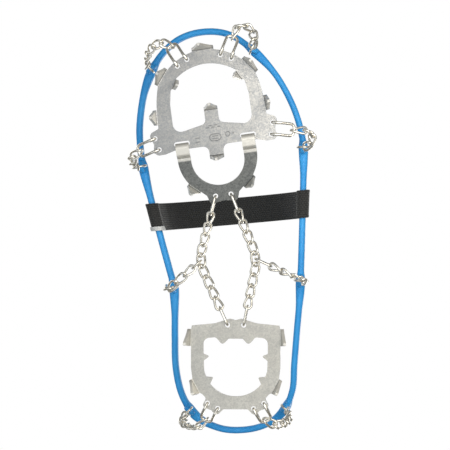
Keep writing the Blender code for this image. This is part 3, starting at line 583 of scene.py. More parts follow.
def wire_mesh(points, wire, closed=False):
    """Return a mesh of round wire that follows the points."""
    curve = bpy.data.curves.new("wire", "CURVE")
    curve.dimensions = "3D"
    curve.fill_mode = "FULL"
    curve.bevel_depth = wire / 2
    curve.bevel_resolution = WIRE_RESOLUTION
    curve.use_fill_caps = True
    spline = curve.splines.new("POLY")
    spline.points.add(len(points) - 1)
    for point, at in zip(spline.points, points):
        point.co = (*at, 1.0)
    spline.use_cyclic_u = closed
    return mesh_of(curve)


def smooth_route(points, steps, closed=False):
    """Return Catmull-Rom points through the given ones."""
    count = len(points)
    route = []
    spans = count if closed else count - 1
    for span in range(spans):
        if closed:
            a, b, c, d = (Vector(points[(span + k) % count]) for k in (-1, 0, 1, 2))
        else:
            a, b, c, d = (Vector(points[min(max(span + k, 0), count - 1)]) for k in (-1, 0, 1, 2))
        for step in range(steps):
            t = step / steps
            route.append(0.5 * (
                2 * b + (c - a) * t + (2 * a - 5 * b + 4 * c - d) * t * t
                + (3 * b - a - 3 * c + d) * t * t * t
            ))
    if not closed:
        route.append(Vector(points[-1]))
    return route


# ---------------- bending sheet metal

class Strip:
    """The end face of a sheet, which is pushed out and bent step by step."""

    def __init__(self, bm, start, end, thickness):
        self.bm = bm
        self.thickness = thickness
        self.face = self.find(start, end)
        self.face.normal_update()
        self.heading = self.face.normal.copy()
        self.up = UP.copy()

    def find(self, start, end):
        ends = (Vector(start[:2]), Vector(end[:2]))
        for face in self.bm.faces:
            flat = [vert.co.xy for vert in face.verts]
            near = all(min((at - mark).length for mark in ends) < EDGE_MATCH for at in flat)
            if len(flat) == 4 and near:
                return face
        raise ValueError("no edge between the two points")

    def grow(self):
        self.face = bmesh.ops.extrude_discrete_faces(self.bm, faces=[self.face])["faces"][0]

    def straight(self, length):
        self.grow()
        bmesh.ops.translate(self.bm, verts=self.face.verts, vec=self.heading * length)

    def bend(self, degrees, radius, steps):
        """Bend down for a positive angle and up for a negative one."""
        inner = self.up * (-1.0 if degrees > 0 else 1.0)
        centre = self.face.calc_center_median() + inner * (self.thickness / 2 + radius)
        axis = self.heading.cross(inner)
        turn = Matrix.Rotation(math.radians(abs(degrees)) / steps, 3, axis)
        for _ in range(steps):
            self.grow()
            bmesh.ops.rotate(self.bm, cent=centre, matrix=turn, verts=self.face.verts)
            self.heading = turn @ self.heading
            self.up = turn @ self.up


def bend_spike(bm, start, end, thickness, bottom, tip_at=0.5, lean=SPIKE_LEAN):
    """Bend the edge from start to end down into a spike with hollowed flanks."""
    strip = Strip(bm, start, end, thickness)
    along = (Vector(end[:2]) - Vector(start[:2])).normalized().to_3d()
    strip.bend(90.0 - lean, BEND_RADIUS, BEND_STEPS)
    length = (strip.face.calc_center_median().z - bottom) / -strip.heading.z
    places = [vert.co.dot(along) for vert in strip.face.verts]
    low, high = min(places), max(places)
    tip = low + (high - low) * tip_at
    for step in range(1, SPIKE_STEPS + 1):
        share = step / SPIKE_STEPS
        strip.straight(length / SPIKE_STEPS)
        taper = share ** 0.8
        narrow = SPIKE_TIP if step < SPIKE_STEPS else SPIKE_TIP * 0.75
        for vert, where in zip(strip.face.verts, places):
            side = 1.0 if where > (low + high) / 2 else -1.0
            target = where + (tip + side * narrow / 2 - where) * taper
            vert.co += along * (target - vert.co.dot(along))
    for vert in strip.face.verts:
        vert.co.z = bottom


def bend_hook(bm, start, end):
    """Joggle an arm of the flex plate down and hook it up round the slotted strip."""
    strip = Strip(bm, start, end, FLEX_THICKNESS)
    drop = HOOK_RADIUS + FLEX_THICKNESS / 2
    jog = 45.0
    turn_drop = 2 * (FLEX_THICKNESS / 2 + BEND_RADIUS) * (1 - math.cos(math.radians(jog)))
    strip.bend(jog, BEND_RADIUS, 5)
    strip.straight((drop - turn_drop) / math.sin(math.radians(jog)))
    strip.bend(-jog, BEND_RADIUS, 5)
    strip.straight(PIVOT_Y - strip.face.calc_center_median().y)
    strip.bend(-180.0, HOOK_RADIUS, 16)
    strip.straight(HOOK_TIP)


# ---------------- plates

def axes_of(x, y, z):
    """Return the turn whose own axes point along three unit vectors."""
    return Matrix((x, y, z)).transposed().to_4x4()


def frame_at(position, turn_degrees, height):
    return Matrix.Translation((*position, height)) @ Matrix.Rotation(math.radians(turn_degrees), 4, "Z")


FOREFOOT_FRAME = frame_at(FOREFOOT_AT, FOREFOOT_TURN, PLATE_MIDDLE)
HEEL_FRAME = frame_at(HEEL_AT, HEEL_TURN, PLATE_MIDDLE)
FLEX_FRAME = (
    FOREFOOT_FRAME
    @ Matrix.Translation((0.0, PIVOT_Y, 0.0))
    @ Matrix.Rotation(math.radians(FLEX_TILT), 4, "X")
)

TOE_HOLES = ((12.0, 58.7), (19.3, 55.0))
SIDE_HOLES = ((42.0, 6.3), (40.1, -1.9))
HEEL_TOP_HOLE = (5.7, 28.2)
HEEL_HOLES = ((12.7, -30.7), (20.0, -27.0))


def both_sides(point):
    return (point, (-point[0], point[1]))


def stamp(loops):
    """Return a cutter that presses plain marks into the ground side of a plate."""
    cutter = flat_sheet(loops, 2 * MARK_DEPTH)
    cutter.transform(Matrix.Translation((0.0, 0.0, -PLATE_THICKNESS / 2)))
    return cutter


def pill_outline(x, y, length, width, line):
    return [slot(x, y, length, width, 6), slot(x, y, length - 2 * line, width - 2 * line, 6)]


def forefoot_marks():
    """Plain bars, dots and a ring, where the real plate carries stamped marks."""
    line = 0.8
    marks = pill_outline(-0.6, 1.4, 9.0, 5.6, line)
    marks += [slot(-0.6, 1.4 + dy, 4.6, line) for dy in (-0.9, 0.9)]
    marks += [slot(12.0, 1.0 + dy, 3.6, line) for dy in (-1.4, 1.4)]
    marks += [circle(-9.6, 2.6, 2.0), circle(-9.6, 2.6, 2.0 - line)]
    marks += [circle(-13.6, 2.8, 0.7)]
    marks += [slot(x, 8.7, 2.6, line) for x in (-4.0, 0.0, 4.0)]
    marks += [slot(x, 10.0, 2.6, line) for x in (-2.0, 2.0)]
    return marks


def forefoot_plate():
    front = (7.7, 63.4)
    shoulder = ((26.5, 53.5), (34.9, 42.7))
    side = ((38.0, 26.0), (38.6, 15.4))
    tail = (5.0, -10.6)
    outline = mirrored(
        [front, *arc(front, (18.2, 59.4), shoulder[0], 12), shoulder[0], shoulder[1]]
        + [*arc(shoulder[1], (36.9, 34.6), side[0], 9), side[0], side[1]]
        + [(38.4, 12.9, 1.5), (46.2, 9.8, 3.4), (43.2, 2.2, 2.5), (44.4, -6.0, 3.6)]
        + [(36.0, -5.8, 3.0), (29.5, -4.0 + OFF_LINE * 29.5), (5.0, -4.0, 4.5), tail]
    )
    tongue = (4.8, 20.6)
    tooth = ((21.9, 46.0), (25.4, 39.6))
    window = mirrored(
        [(0.0, 54.0), *arc((0.0, 54.0), (11.5, 51.9), tooth[0], 12), tooth[0], tooth[1]]
        + [(26.6, 38.2, 1.2), (28.2, 29.0, 6.0), (28.4, 7.2, 6.0), (4.8, 11.9, 3.5), tongue]
    )
    holes = [circle(x, y, HOLE_RADIUS) for hole in TOE_HOLES + SIDE_HOLES for x, y in both_sides(hole)]
    slots = [slot(x, 0.0, SLOT_LENGTH, SLOT_WIDTH) for x in (-SLOT_X, SLOT_X)]
    for slot_outline in slots:
        for at in slot_outline:
            at.y += abs(at.x) * OFF_LINE
    mesh = flat_sheet([rounded(outline), rounded(window), *holes, *slots], PLATE_THICKNESS)
    mesh = mesh_of(mesh, [stamp(forefoot_marks())])

    def work(bm):
        ground = -PLATE_MIDDLE
        bend_spike(bm, (-front[0], front[1]), front, PLATE_THICKNESS, ground, 0.6)
        bend_spike(bm, (-tail[0], tail[1]), tail, PLATE_THICKNESS, ground)
        bend_spike(bm, (-tongue[0], tongue[1]), tongue, PLATE_THICKNESS, ground)
        for sign in (1, -1):
            for first, last, tip in ((*shoulder, 0.45), (*side, 0.5), (*tooth, 0.5)):
                ends = [(sign * x, y) for x, y in (first, last)]
                bend_spike(bm, *ends, PLATE_THICKNESS, ground, tip)

    thing = place("forefoot_plate_fine", edited(mesh, work), "forefoot", FOREFOOT_FRAME)
    round_edges(thing)
    stand_for(thing, "forefoot", "forefoot_plate")


def flex_plate():
    """The U-shaped plate whose two arms hook through the forefoot slots."""
    inner, outer = 18.9, 28.3
    spike = ((23.0, -28.8), (15.2, -36.0))
    shoulder = (28.2, -14.0)
    outline = mirrored(
        [(inner, ARM_END_Y), (outer, ARM_END_Y), shoulder, *arc(shoulder, (26.6, -21.8), spike[0], 8)]
        + [spike[0], spike[1], (11.6, -39.2), (9.6, -45.8, 3.2), (0.0, -43.9, 8.0)]
    )
    steps = 40
    bottom = [
        (inner * math.cos(turn), shoulder[1] - inner * math.sin(turn))
        for turn in (math.pi * (steps - step) / steps for step in range(steps + 1))
    ]
    holes = [circle(x, FLEX_HOLE_Y, HOLE_RADIUS) for x in (-FLEX_HOLE_X, FLEX_HOLE_X)]
    mesh = flat_sheet([rounded(outline + bottom), *holes], FLEX_THICKNESS)

    def work(bm):
        for sign in (1, -1):
            bend_hook(bm, (sign * inner, ARM_END_Y), (sign * outer, ARM_END_Y))
            ends = [(sign * x, y) for x, y in spike]
            bend_spike(bm, *ends, FLEX_THICKNESS, -PLATE_MIDDLE, 0.45)
        bmesh.ops.translate(bm, verts=bm.verts, vec=(0.0, -PIVOT_Y, 0.0))

    thing = place("flex_plate_fine", edited(mesh, work), "flex", FLEX_FRAME)
    round_edges(thing)
    stand_for(thing, "flex_plate", "flex_plate")


def heel_plate():
    upper = ((31.4, 25.4), (31.6, 13.4))
    lower = ((30.6, -9.8), (25.2, -19.8))
    outline = mirrored(
        [(0.0, 31.7), (4.0, 32.8, 2.0), (15.0, 29.4, 12.0), (31.0, 27.9), upper[0], upper[1]]
        + [(31.6, -2.0, 8.0), lower[0], lower[1], (23.6, -20.6), (20.8, -23.6, 2.0), (24.2, -29.4, 2.4)]
        + [(17.2, -32.0, 2.0), (13.6, -36.2, 3.0), (8.6, -31.2, 1.5)]
    )
    window = mirrored(
        [(0.0, 18.6), (5.0, 18.6, 1.6), (9.2, 14.0, 2.2), (14.0, 19.6, 2.2), (22.8, 18.8, 4.4)]
        + [(22.8, 7.9, 0.8), (18.4, 6.2, 0.8), (22.6, 3.0, 0.8), (22.4, -4.0, 4.0), (21.0, -8.2, 0.8)]
        + [(15.8, -8.6, 0.8), (18.0, -13.4)]
        + arc((18.0, -13.4), (10.5, -19.6), (0.0, -22.0), 12) + [(0.0, -22.0)]
    )
    holes = [circle(x, y, HOLE_RADIUS) for hole in (HEEL_TOP_HOLE, *HEEL_HOLES) for x, y in both_sides(hole)]
    mesh = flat_sheet([rounded(outline), rounded(window), *holes], PLATE_THICKNESS)

    def work(bm):
        for sign in (1, -1):
            for first, last, tip in ((*upper, 0.85), (*lower, 0.8)):
                ends = [(sign * x, y) for x, y in (first, last)]
                bend_spike(bm, *ends, PLATE_THICKNESS, -PLATE_MIDDLE, tip)

    thing = place("heel_plate_fine", edited(mesh, work), "heel", HEEL_FRAME)
    round_edges(thing)
    stand_for(thing, "rear", "heel_plate")


# ---------------- wire bails

# side is 1 for the inner holes and -1 for the outer ones; every far end rises as much
Bail = namedtuple("Bail", "plate holes side length free_end")
BAIL_RISE = 3.0
BAILS = {
    zone + "_" + name: Bail(plate, holes, side, length, free_end)
    for zone, plate, holes, lengths, free_end in (
        ("toe", FOREFOOT_FRAME, TOE_HOLES, (15.0, 15.0), 4.6),
        ("side", FOREFOOT_FRAME, SIDE_HOLES, (14.5, 15.5), 4.6),
        ("heel", HEEL_FRAME, HEEL_HOLES, (12.0, 12.0), 7.5),
    )
    for (name, side), length in zip(SIDES.items(), lengths)
}


def bail_frame(name):
    """Return a frame midway between the two holes, Y outward, and half their distance."""
    bail = BAILS[name]
    first, last = (bail.plate @ Vector((bail.side * x, y, 0.0)) for x, y in bail.holes)
    across = (last - first).normalized()
    outward = UP.cross(across)
    middle = (first + last) / 2
    if outward.dot(middle - bail.plate.translation) < 0:
        across, outward = -across, -outward
    return Matrix.Translation(middle) @ axes_of(across, outward, UP), (last - first).length / 2


def bail_end(name):
    """Return the middle of the wire at the far end of a bail."""
    matrix, _ = bail_frame(name)
    return matrix @ Vector((0.0, BAILS[name].length, BAIL_RISE))


def wire_bail(name):
    matrix, half = bail_frame(name)
    bail = BAILS[name]
    length, rise = bail.length, BAIL_RISE
    top = PLATE_THICKNESS / 2 + BAIL_WIRE / 2 + BAIL_ROOM_ABOVE
    low = -(PLATE_THICKNESS / 2 + BAIL_WIRE / 2 + BAIL_ROOM_BELOW)
    leg = [
        (half, bail.free_end, top), (half, 1.8, top), (half, 0.5, top - 0.5), (half, 0.0, top - 1.6),
        (half, 0.0, low + 1.4), (half, 0.4, low + 0.4), (half, 1.6, low), (half, 4.6, low),
        (half, length - 3.0, rise - 1.6), (half - 0.5, length - 1.2, rise - 0.6),
        (half - 1.8, length - 0.2, rise - 0.1), (0.0, length, rise),
    ]
    other = [(-x, y, z) for x, y, z in reversed(leg[:-1])]
    mesh = wire_mesh(smooth_route(leg + other, 5), BAIL_WIRE)
    fitted(name + "_bail", mesh, "nickel", matrix)


# ---------------- chain links

def link_points(length, width, first_turn, last_turn, bends=12, sides=5):
    """Return a link's centre line: a stadium along X, twisted from one end to the other."""
    radius = (width - LINK_WIRE) / 2
    reach = (length - LINK_WIRE) / 2
    flat = []
    for side in (1, -1):
        for step in range(bends + 1):
            turn = math.pi * (step / bends - 0.5)
            flat.append((side * (reach - radius + radius * math.cos(turn)), side * radius * math.sin(turn)))
        for step in range(1, sides):
            flat.append((side * (reach - radius) * (1 - 2 * step / sides), side * radius))
    points = []
    for x, y in flat:
        share = (x + reach) / (2 * reach)
        roll = math.radians(first_turn + (last_turn - first_turn) * share)
        points.append((x, y * math.cos(roll), y * math.sin(roll)))
    return points


def link_mesh(length, first_turn, last_turn, width=LINK_WIDTH):
    return wire_mesh(link_points(length, width, first_turn, last_turn), LINK_WIRE, closed=True)


def link_frame(start, end, side):
    """Return a frame midway between two points: X along the link, Y near the side vector."""
    along = (end - start).normalized()
    across = (side - along * side.dot(along)).normalized()
    return Matrix.Translation((start + end) / 2) @ axes_of(along, across, along.cross(across))


def twist_each(count, first, last):
    """Return one twist for every link, so that neighbours cross near a right angle."""
    base = last - first + 90.0 * (count - 1)
    options = [(base + 180.0 * k) / count for k in range(-count - 2, count + 3)]
    return min(options, key=lambda twist: abs(twist - 90.0))


def roll_of(vector, matrix):
    """Return the angle of a vector about a frame's X axis, in degrees."""
    local = matrix.to_3x3().inverted() @ vector
    return math.degrees(math.atan2(local.z, local.y))


# ---------------- centre chains

JUNCTIONS = {"inner": Vector((22.0, -20.5, 15.0)), "outer": Vector((-19.4, -22.6, 15.0))}


def flex_hole(side):
    return FLEX_FRAME @ Vector((SIDES[side] * FLEX_HOLE_X, FLEX_HOLE_Y - PIVOT_Y, 0.0))


def heel_hole(side):
    return HEEL_FRAME @ Vector((SIDES[side] * HEEL_TOP_HOLE[0], HEEL_TOP_HOLE[1], 0.0))


def half_chain(hole, junction):
    """Place the end link and four small links between a plate's hole and the junction."""
    reach = END_LINK_LENGTH - LINK_WIRE
    along = (junction - hole).normalized()
    total = (junction - hole).length
    small = (total - reach + STEP_BACK / 2) / (SMALL_LINKS_EACH_SIDE + 0.5)
    spans = [(hole, hole + along * reach)]
    for _ in range(SMALL_LINKS_EACH_SIDE):
        start = spans[-1][1] - along * STEP_BACK
        spans.append((start, start + along * (small + STEP_BACK)))
    return spans


def chain_spans(side):
    """Return the wire-centre spans of the eleven links, from the flex plate to the heel."""
    front = half_chain(flex_hole(side), JUNCTIONS[side])
    rear = half_chain(heel_hole(side), JUNCTIONS[side])
    start = front[-1][1] - (front[-1][1] - front[-1][0]).normalized() * STEP_BACK
    end = rear[-1][1] - (rear[-1][1] - rear[-1][0]).normalized() * STEP_BACK
    along = (end - start).normalized() * JUNCTION_ROOM
    start, end = start - along, end + along
    return front + [(start, end)] + [(b, a) for a, b in reversed(rear)]


def junction_middle(side):
    start, end = chain_spans(side)[SMALL_LINKS_EACH_SIDE + 1]
    return (start + end) / 2


def centre_chain(side):
    spans = chain_spans(side)
    across = UP.cross((spans[-1][1] - spans[0][0]).normalized())
    small = len(spans) - 2
    twist = twist_each(small, 0.0, 0.0)
    roll = 0.0
    for index, (start, end) in enumerate(spans):
        matrix = link_frame(start, end, across)
        length = (end - start).length + LINK_WIRE
        if index in (0, len(spans) - 1):
            mesh = link_mesh(length, 90.0, 90.0, END_LINK_WIDTH)
        else:
            mesh = link_mesh(length, roll, roll + twist)
            roll += twist - 90.0
        fitted(f"{side}_chain_link_{index + 1:02d}", mesh, "nickel", matrix)


# ---------------- side chains and rings

STRAND = smooth_route(HARNESS_ROUTE, 8, closed=True)


def strand_point(target):
    """Return the point of the harness centre line that is nearest to a plan position."""
    return min(STRAND, key=lambda at: (at.xy - Vector(target)).length)


# ring_at is the ring's plan position on the strand, way the points that the chain passes
# on its way there, and pull the plan direction in which it leans outward
Run = namedtuple("Run", "ring_at way links pull")
RUNS = {
    "toe_inner": Run(
        ring_at=(46.8, 121.0),
        way=[(34.8, 136.0, 14.5), (42.0, 134.0, 17.5), (47.5, 127.5, 24.0)],
        links=5,
        pull=(0.6, 0.8),
    ),
    "toe_outer": Run(
        ring_at=(-27.5, 127.5),
        way=[(-19.6, 142.0, 14.5), (-25.8, 142.4, 17.5), (-30.2, 136.6, 23.5)],
        links=5,
        pull=(-0.5, 0.86),
    ),
    "side_inner": Run(
        ring_at=(58.5, 50.0),
        way=[(61.9, 59.0, 15.0), (64.3, 55.0, 21.0), (63.3, 50.5, 28.0)],
        links=3,
        pull=(1.0, -0.1),
    ),
    "side_outer": Run(
        ring_at=(-56.5, 53.0),
        way=[(-61.6, 64.5, 15.0), (-66.1, 60.0, 21.0), (-62.2, 54.6, 26.5)],
        links=4,
        pull=(-1.0, -0.1),
    ),
    "heel_inner": Run(
        ring_at=(42.0, -129.0),
        way=[(33.4, -138.0, 16.0), (42.2, -137.0, 25.0), (45.5, -134.0, 36.0)],
        links=6,
        pull=(0.7, -0.7),
    ),
    "heel_outer": Run(
        ring_at=(-27.5, -131.5),
        way=[(-21.6, -141.0, 16.0), (-28.8, -140.5, 24.0), (-31.4, -137.5, 36.0)],
        links=6,
        pull=(-0.7, -0.7),
    ),
    "arch_inner": Run(
        ring_at=(45.0, -38.0),
        way=[(35.4, -31.5, 15.5), (43.0, -36.5, 19.0), (46.2, -39.0, 24.0)],
        links=4,
        pull=(1.0, -0.2),
    ),
    "arch_outer": Run(
        ring_at=(-47.0, -41.0),
        way=[(-41.4, -36.0, 15.5), (-49.0, -39.5, 18.5), (-50.8, -41.2, 24.0)],
        links=4,
        pull=(-1.0, -0.2),
    ),
}
FIRST_LINKS = {"inner": (10.0, 9.0), "outer": (14.4, 7.6)}


def run_links(points, count, first_wire, first_pull, last_pull):
    """Share a smooth route out between links that hang in each other, end to end.

    The first link hooks inside a wire that is pulled one way, the last one into a ring.
    """
    route = smooth_route(points, 12)
    lengths = [0.0]
    for a, b in zip(route, route[1:]):
        lengths.append(lengths[-1] + (b - a).length)

    def at(distance):
        for index in range(1, len(route)):
            if lengths[index] >= distance:
                share = (distance - lengths[index - 1]) / (lengths[index] - lengths[index - 1])
                return route[index - 1].lerp(route[index], share)
        return route[-1]

    step = lengths[-1] / count
    marks = [at(step * index) for index in range(count + 1)]
    spans = []
    for a, b in zip(marks, marks[1:]):
        along = (b - a).normalized()
        spans.append((a - along * HOOK_REACH, b + along * HOOK_REACH))
    along = (marks[1] - marks[0]).normalized()
    room = (first_wire + LINK_WIRE) / 2 + BAIL_GAP
    spans[0] = (marks[0] - along * room / along.dot(first_pull), spans[0][1])
    along = (marks[-1] - marks[-2]).normalized()
    room = (RING_WIRE + LINK_WIRE) / 2 + CHAIN_GAP
    spans[-1] = (spans[-1][0], marks[-1] - along * room / along.dot(last_pull))
    return spans


def hanging_links(name, spans, first_across, last_across, first_mesh=None):
    """Make a run of links as one piece that rides on the run's body."""
    frames = [link_frame(*spans[0], first_across)]
    for span in spans[1:]:
        along = (span[1] - span[0]).normalized()
        swing = frames[-1].col[0].to_3d().rotation_difference(along)
        frames.append(link_frame(*span, swing @ frames[-1].col[1].to_3d()))
    first_roll = roll_of(first_across, frames[0])
    last_roll = roll_of(last_across, frames[-1])
    twist = twist_each(len(spans), first_roll, last_roll)
    roll = first_roll
    links = [first_mesh] if first_mesh else []
    for (start, end), matrix in zip(spans, frames):
        mesh = link_mesh((end - start).length + LINK_WIRE, roll, roll + twist)
        mesh.transform(matrix)
        links.append(mesh)
        roll += twist - 90.0
    fitted(name, merged(links), "nickel")


def ring_direction(run):
    return Vector((*RUNS[run].pull, 0.0)).normalized()


def lug_hole(run):
    return strand_point(RUNS[run].ring_at) - UP * LUG_DROP


def ring_pull(run):
    """Return the way that the chain pulls the ring: down and a little outward."""
    tilt = math.radians(RING_TILT)
    return ring_direction(run) * math.sin(tilt) - UP * math.cos(tilt)


def ring_bottom(run):
    return lug_hole(run) + ring_pull(run) * 2 * LUG_RING


def ring(run):
    """Hang a round ring from a lug, in the upright plane that points outward."""
    matrix = link_frame(Vector(), ring_pull(run), ring_direction(run))
    points = [
        (LUG_RING * (1 + math.cos(turn)), LUG_RING * math.sin(turn), 0.0)
        for turn in (2 * math.pi * i / 44 for i in range(44))
    ]
    matrix.translation = lug_hole(run)
    mesh = wire_mesh(points, RING_WIRE - RING_PLAY, closed=True)
    fitted(run + "_ring", mesh, "nickel", matrix)


def side_chain(run):
    """Make the chain that ties a bail to its ring."""
    points = [bail_end(run), *(Vector(at) for at in RUNS[run].way), ring_bottom(run)]
    matrix, _ = bail_frame(run)
    spans = run_links(points, RUNS[run].links, BAIL_WIRE, matrix.col[1].to_3d(), ring_pull(run))
    across = (spans[0][1] - spans[0][0]).normalized().cross(matrix.col[0].to_3d())
    hanging_links(run + "_chain", spans, across, UP.cross(ring_direction(run)))


def arch_chain(side):
    """Make the chain that ties a junction link to the strand beside the arch."""
    run = "arch_" + side
    way = [Vector(at) for at in RUNS[run].way]
    length, width = FIRST_LINKS[side]
    middle = junction_middle(side)
    away = (way[0] - middle).to_2d().to_3d().normalized()
    reach = length - LINK_WIRE
    start = middle + away * (reach - HOOK_REACH)
    points = [start, *way, ring_bottom(run)]
    spans = run_links(points, RUNS[run].links, LINK_WIRE, away, ring_pull(run))
    along = (spans[0][1] - spans[0][0]).normalized()
    spans[0] = (start - along * HOOK_REACH, spans[0][1])
    across = UP.cross(away)
    first = link_mesh(length, 90.0, 90.0, width)
    first.transform(link_frame(middle, middle + away * reach, across))
    hanging_links(run + "_chain", spans, across, UP.cross(ring_direction(run)), first)


# ---------------- harness

def swept(route, section, widths):
    """Sweep a section (outward, up) round a closed route, with one outward scale for each point."""
    bm = bmesh.new()
    rings = []
    count = len(route)
    for index, here in enumerate(route):
        along = (route[(index + 1) % count] - route[index - 1]).normalized()
        outward = UP.cross(along).normalized()
        upward = along.cross(outward)
        wide = outward * widths[index]
        rings.append([bm.verts.new(here + wide * a + upward * b) for a, b in section])
    for first, last in zip(rings, rings[1:] + rings[:1]):
        for index in range(len(section)):
            bm.faces.new((first[index - 1], first[index], last[index], last[index - 1]))
    bmesh.ops.recalc_face_normals(bm, faces=bm.faces)
    return mesh_from(bm)


def strand_profile(steps=32):
    """The strand's section, with a shallow channel along its outer side."""
    radius = STRAND_THICKNESS / 2
    reach = (STRAND_HEIGHT - STRAND_THICKNESS) / 2
    channel = 0.5
    points = []
    for step in range(steps):
        turn = 2 * math.pi * step / steps
        height = math.copysign(reach, math.sin(turn)) + radius * math.sin(turn)
        points.append((radius * math.cos(turn), height))
    dent = [(radius, -1.9), (radius - channel, -1.3), (radius - channel, 1.3), (radius, 1.9)]
    return points[1:] + dent


def strand_widths(route):
    """The strand swells at each lug, sharply on the toe side and slowly on the heel side."""
    widths = []
    for here in route:
        swell = 0.0
        for run in RUNS:
            away = here - strand_point(RUNS[run].ring_at)
            reach = SWELL_HEELWARD if away.y < 0 else SWELL_TOEWARD
            swell = max(swell, 1.0 - away.length / reach)
        widths.append(1.0 + SWELL * swell * swell * (3.0 - 2.0 * swell))
    return widths


def lug_axes(run):
    outward = ring_direction(run)
    return Matrix.Translation(lug_hole(run)) @ axes_of(UP.cross(outward), UP, outward)


def lug(run):
    """An ear with a round, beaded lower end, which widens as it runs up into the strand."""
    root = LUG_RADIUS * LUG_FLARE
    neck = LUG_DROP * 0.45
    outline = [(root, LUG_DROP + 1.0), (-root, LUG_DROP + 1.0), (-LUG_RADIUS, neck)]
    for step in range(25):
        turn = math.pi * (1 + step / 24)
        outline.append((LUG_RADIUS * math.cos(turn), LUG_RADIUS * math.sin(turn)))
    outline.append((LUG_RADIUS, neck))
    ear = flat_sheet([outline, circle(0.0, 0.0, LUG_HOLE)], LUG_THICKNESS)
    bead_line = circle(0.0, 0.0, LUG_RADIUS - BEAD_INSET)
    bead = wire_mesh([(*at, 0.0) for at in bead_line], BEAD_WIRE, closed=True)
    bead.transform(Matrix.Diagonal((1.0, 1.0, BEAD_DEPTH_RATIO, 1.0)))
    both = merged([ear, bead])
    both.transform(lug_axes(run))
    return both


def harness():
    """One moulding: the strand and its ears are fused and smoothed."""
    strand = swept(STRAND, strand_profile(), strand_widths(STRAND))
    mesh = merged([strand, *(lug(run) for run in RUNS)])
    holder = added("holder", mesh)
    remesh = holder.modifiers.new("skin", "REMESH")
    remesh.mode = "VOXEL"
    remesh.voxel_size = RUBBER_VOXEL
    smooth = holder.modifiers.new("smooth", "SMOOTH")
    smooth.factor = 0.5
    smooth.iterations = 5
    thing = place("harness_moulding", evaluated(holder), "rubber")
    thing.data.shade_smooth()
    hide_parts("harness_front", "harness_rear", "harness_side_inner", "harness_side_outer")
    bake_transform(thing)


# ---------------- strap

FINE_STRAND = smooth_route(HARNESS_ROUTE, 12, closed=True)


def strand_at_strap(sign):
    side = [at for at in FINE_STRAND if at.x * sign > 0]
    return min(side, key=lambda at: abs(at.y - STRAP_Y))


def strand_lean(sign):
    """Return how far the strand shifts in X for each millimetre along Y under the strap."""
    side = [at for at in FINE_STRAND if at.x * sign > 0]
    near = [at for at in side if abs(at.y - STRAP_Y) < STRAP_WIDTH / 2]
    low, high = min(near, key=lambda at: at.y), max(near, key=lambda at: at.y)
    return (high.x - low.x) / (high.y - low.y)


FEET = {sign: strand_at_strap(sign) for sign in (1, -1)}
LEANS = {sign: strand_lean(sign) for sign in (1, -1)}


def skewed(at):
    """Shift a point so that each end of the strap lies square across its own strand."""
    share = (at.x - FEET[-1].x) / (FEET[1].x - FEET[-1].x)
    lean = LEANS[-1] + (LEANS[1] - LEANS[-1]) * share
    return Vector((at.x + lean * (at.y - STRAP_Y), at.y, at.z))


def strap_line(steps=8):
    """Return the middle line of the webbing over the instep, in X and Z."""
    above = STRAND_HEIGHT / 2 + STRAP_LOOP_GAP + STRAP_THICKNESS / 2
    ends = [(FEET[sign].x, FEET[sign].z + above, 0.0) for sign in (1, -1)]
    route = [ends[0], *((x, z, 0.0) for x, z in STRAP_ROUTE), ends[1]]
    return [at.xy for at in smooth_route(route, steps)]


def loop_line(sign, extra, steps=14):
    """Return the closed line round the strand's section, grown by some room."""
    foot = FEET[sign]
    radius = STRAND_THICKNESS / 2 + extra
    reach = (STRAND_HEIGHT - STRAND_THICKNESS) / 2
    points = []
    for half in (1, -1):
        for step in range(steps + 1):
            angle = math.pi * (step / steps + (0 if half > 0 else 1))
            points.append(Vector((
                foot.x + radius * math.cos(angle),
                foot.z + half * reach + radius * math.sin(angle),
            )))
    return points


def band(line, width, thickness, offset=0.0, closed=False, middle=STRAP_Y, round_end=0.0):
    """Sweep flat webbing along a line in X and Z. UV holds millimetres along and across."""
    bm = bmesh.new()
    layer = bm.loops.layers.uv.new("UVMap")
    half, thick = width / 2, thickness / 2
    soft = thick * 0.6
    # Full thickness up to 1.6 mm from each edge, and a fifth less from 2 mm on
    edge = [
        (-half, -thick + soft), (-half + soft, -thick),
        (-half + 1.6, -thick), (-half + 2.0, -thick * 0.8),
    ]
    lower = edge + [(-v, n) for v, n in reversed(edge)]
    section = lower + [(-v, -n) for v, n in lower]
    count = len(line)
    rings, places, gone = [], [], 0.0
    for index, here in enumerate(line):
        before = line[index - 1] if closed else line[max(index - 1, 0)]
        after = line[(index + 1) % count] if closed else line[min(index + 1, count - 1)]
        along = (after - before).normalized()
        normal = Vector((along.y, -along.x))
        if index:
            gone += (here - line[index - 1]).length
        left = (line[-1] - here).length
        narrow = 1.0
        if round_end and left < round_end:
            narrow = 1.0 - 0.35 * (1.0 - left / round_end) ** 2
        ring_verts = []
        for v, n in section:
            flat = here + normal * (n + offset)
            ring_verts.append(bm.verts.new(skewed(Vector((flat.x, middle + v * narrow, flat.y)))))
        rings.append(ring_verts)
        places.append(gone)
    steps = list(range(count - 1)) + ([count - 1] if closed else [])
    for index in steps:
        following = (index + 1) % count
        end = places[following] if following else places[-1] + (line[0] - line[-1]).length
        for k in range(len(section)):
            here, there = rings[index], rings[following]
            face = bm.faces.new((here[k - 1], here[k], there[k], there[k - 1]))
            marks = ((places[index], k - 1), (places[index], k), (end, k), (end, k - 1))
            for loop, (u, which) in zip(face.loops, marks):
                loop[layer].uv = (u, section[which][0])
    if not closed:
        for ring_verts in (rings[0], rings[-1][::-1]):
            bm.faces.new(ring_verts)
    bmesh.ops.recalc_face_normals(bm, faces=bm.faces)
    return mesh_from(bm)


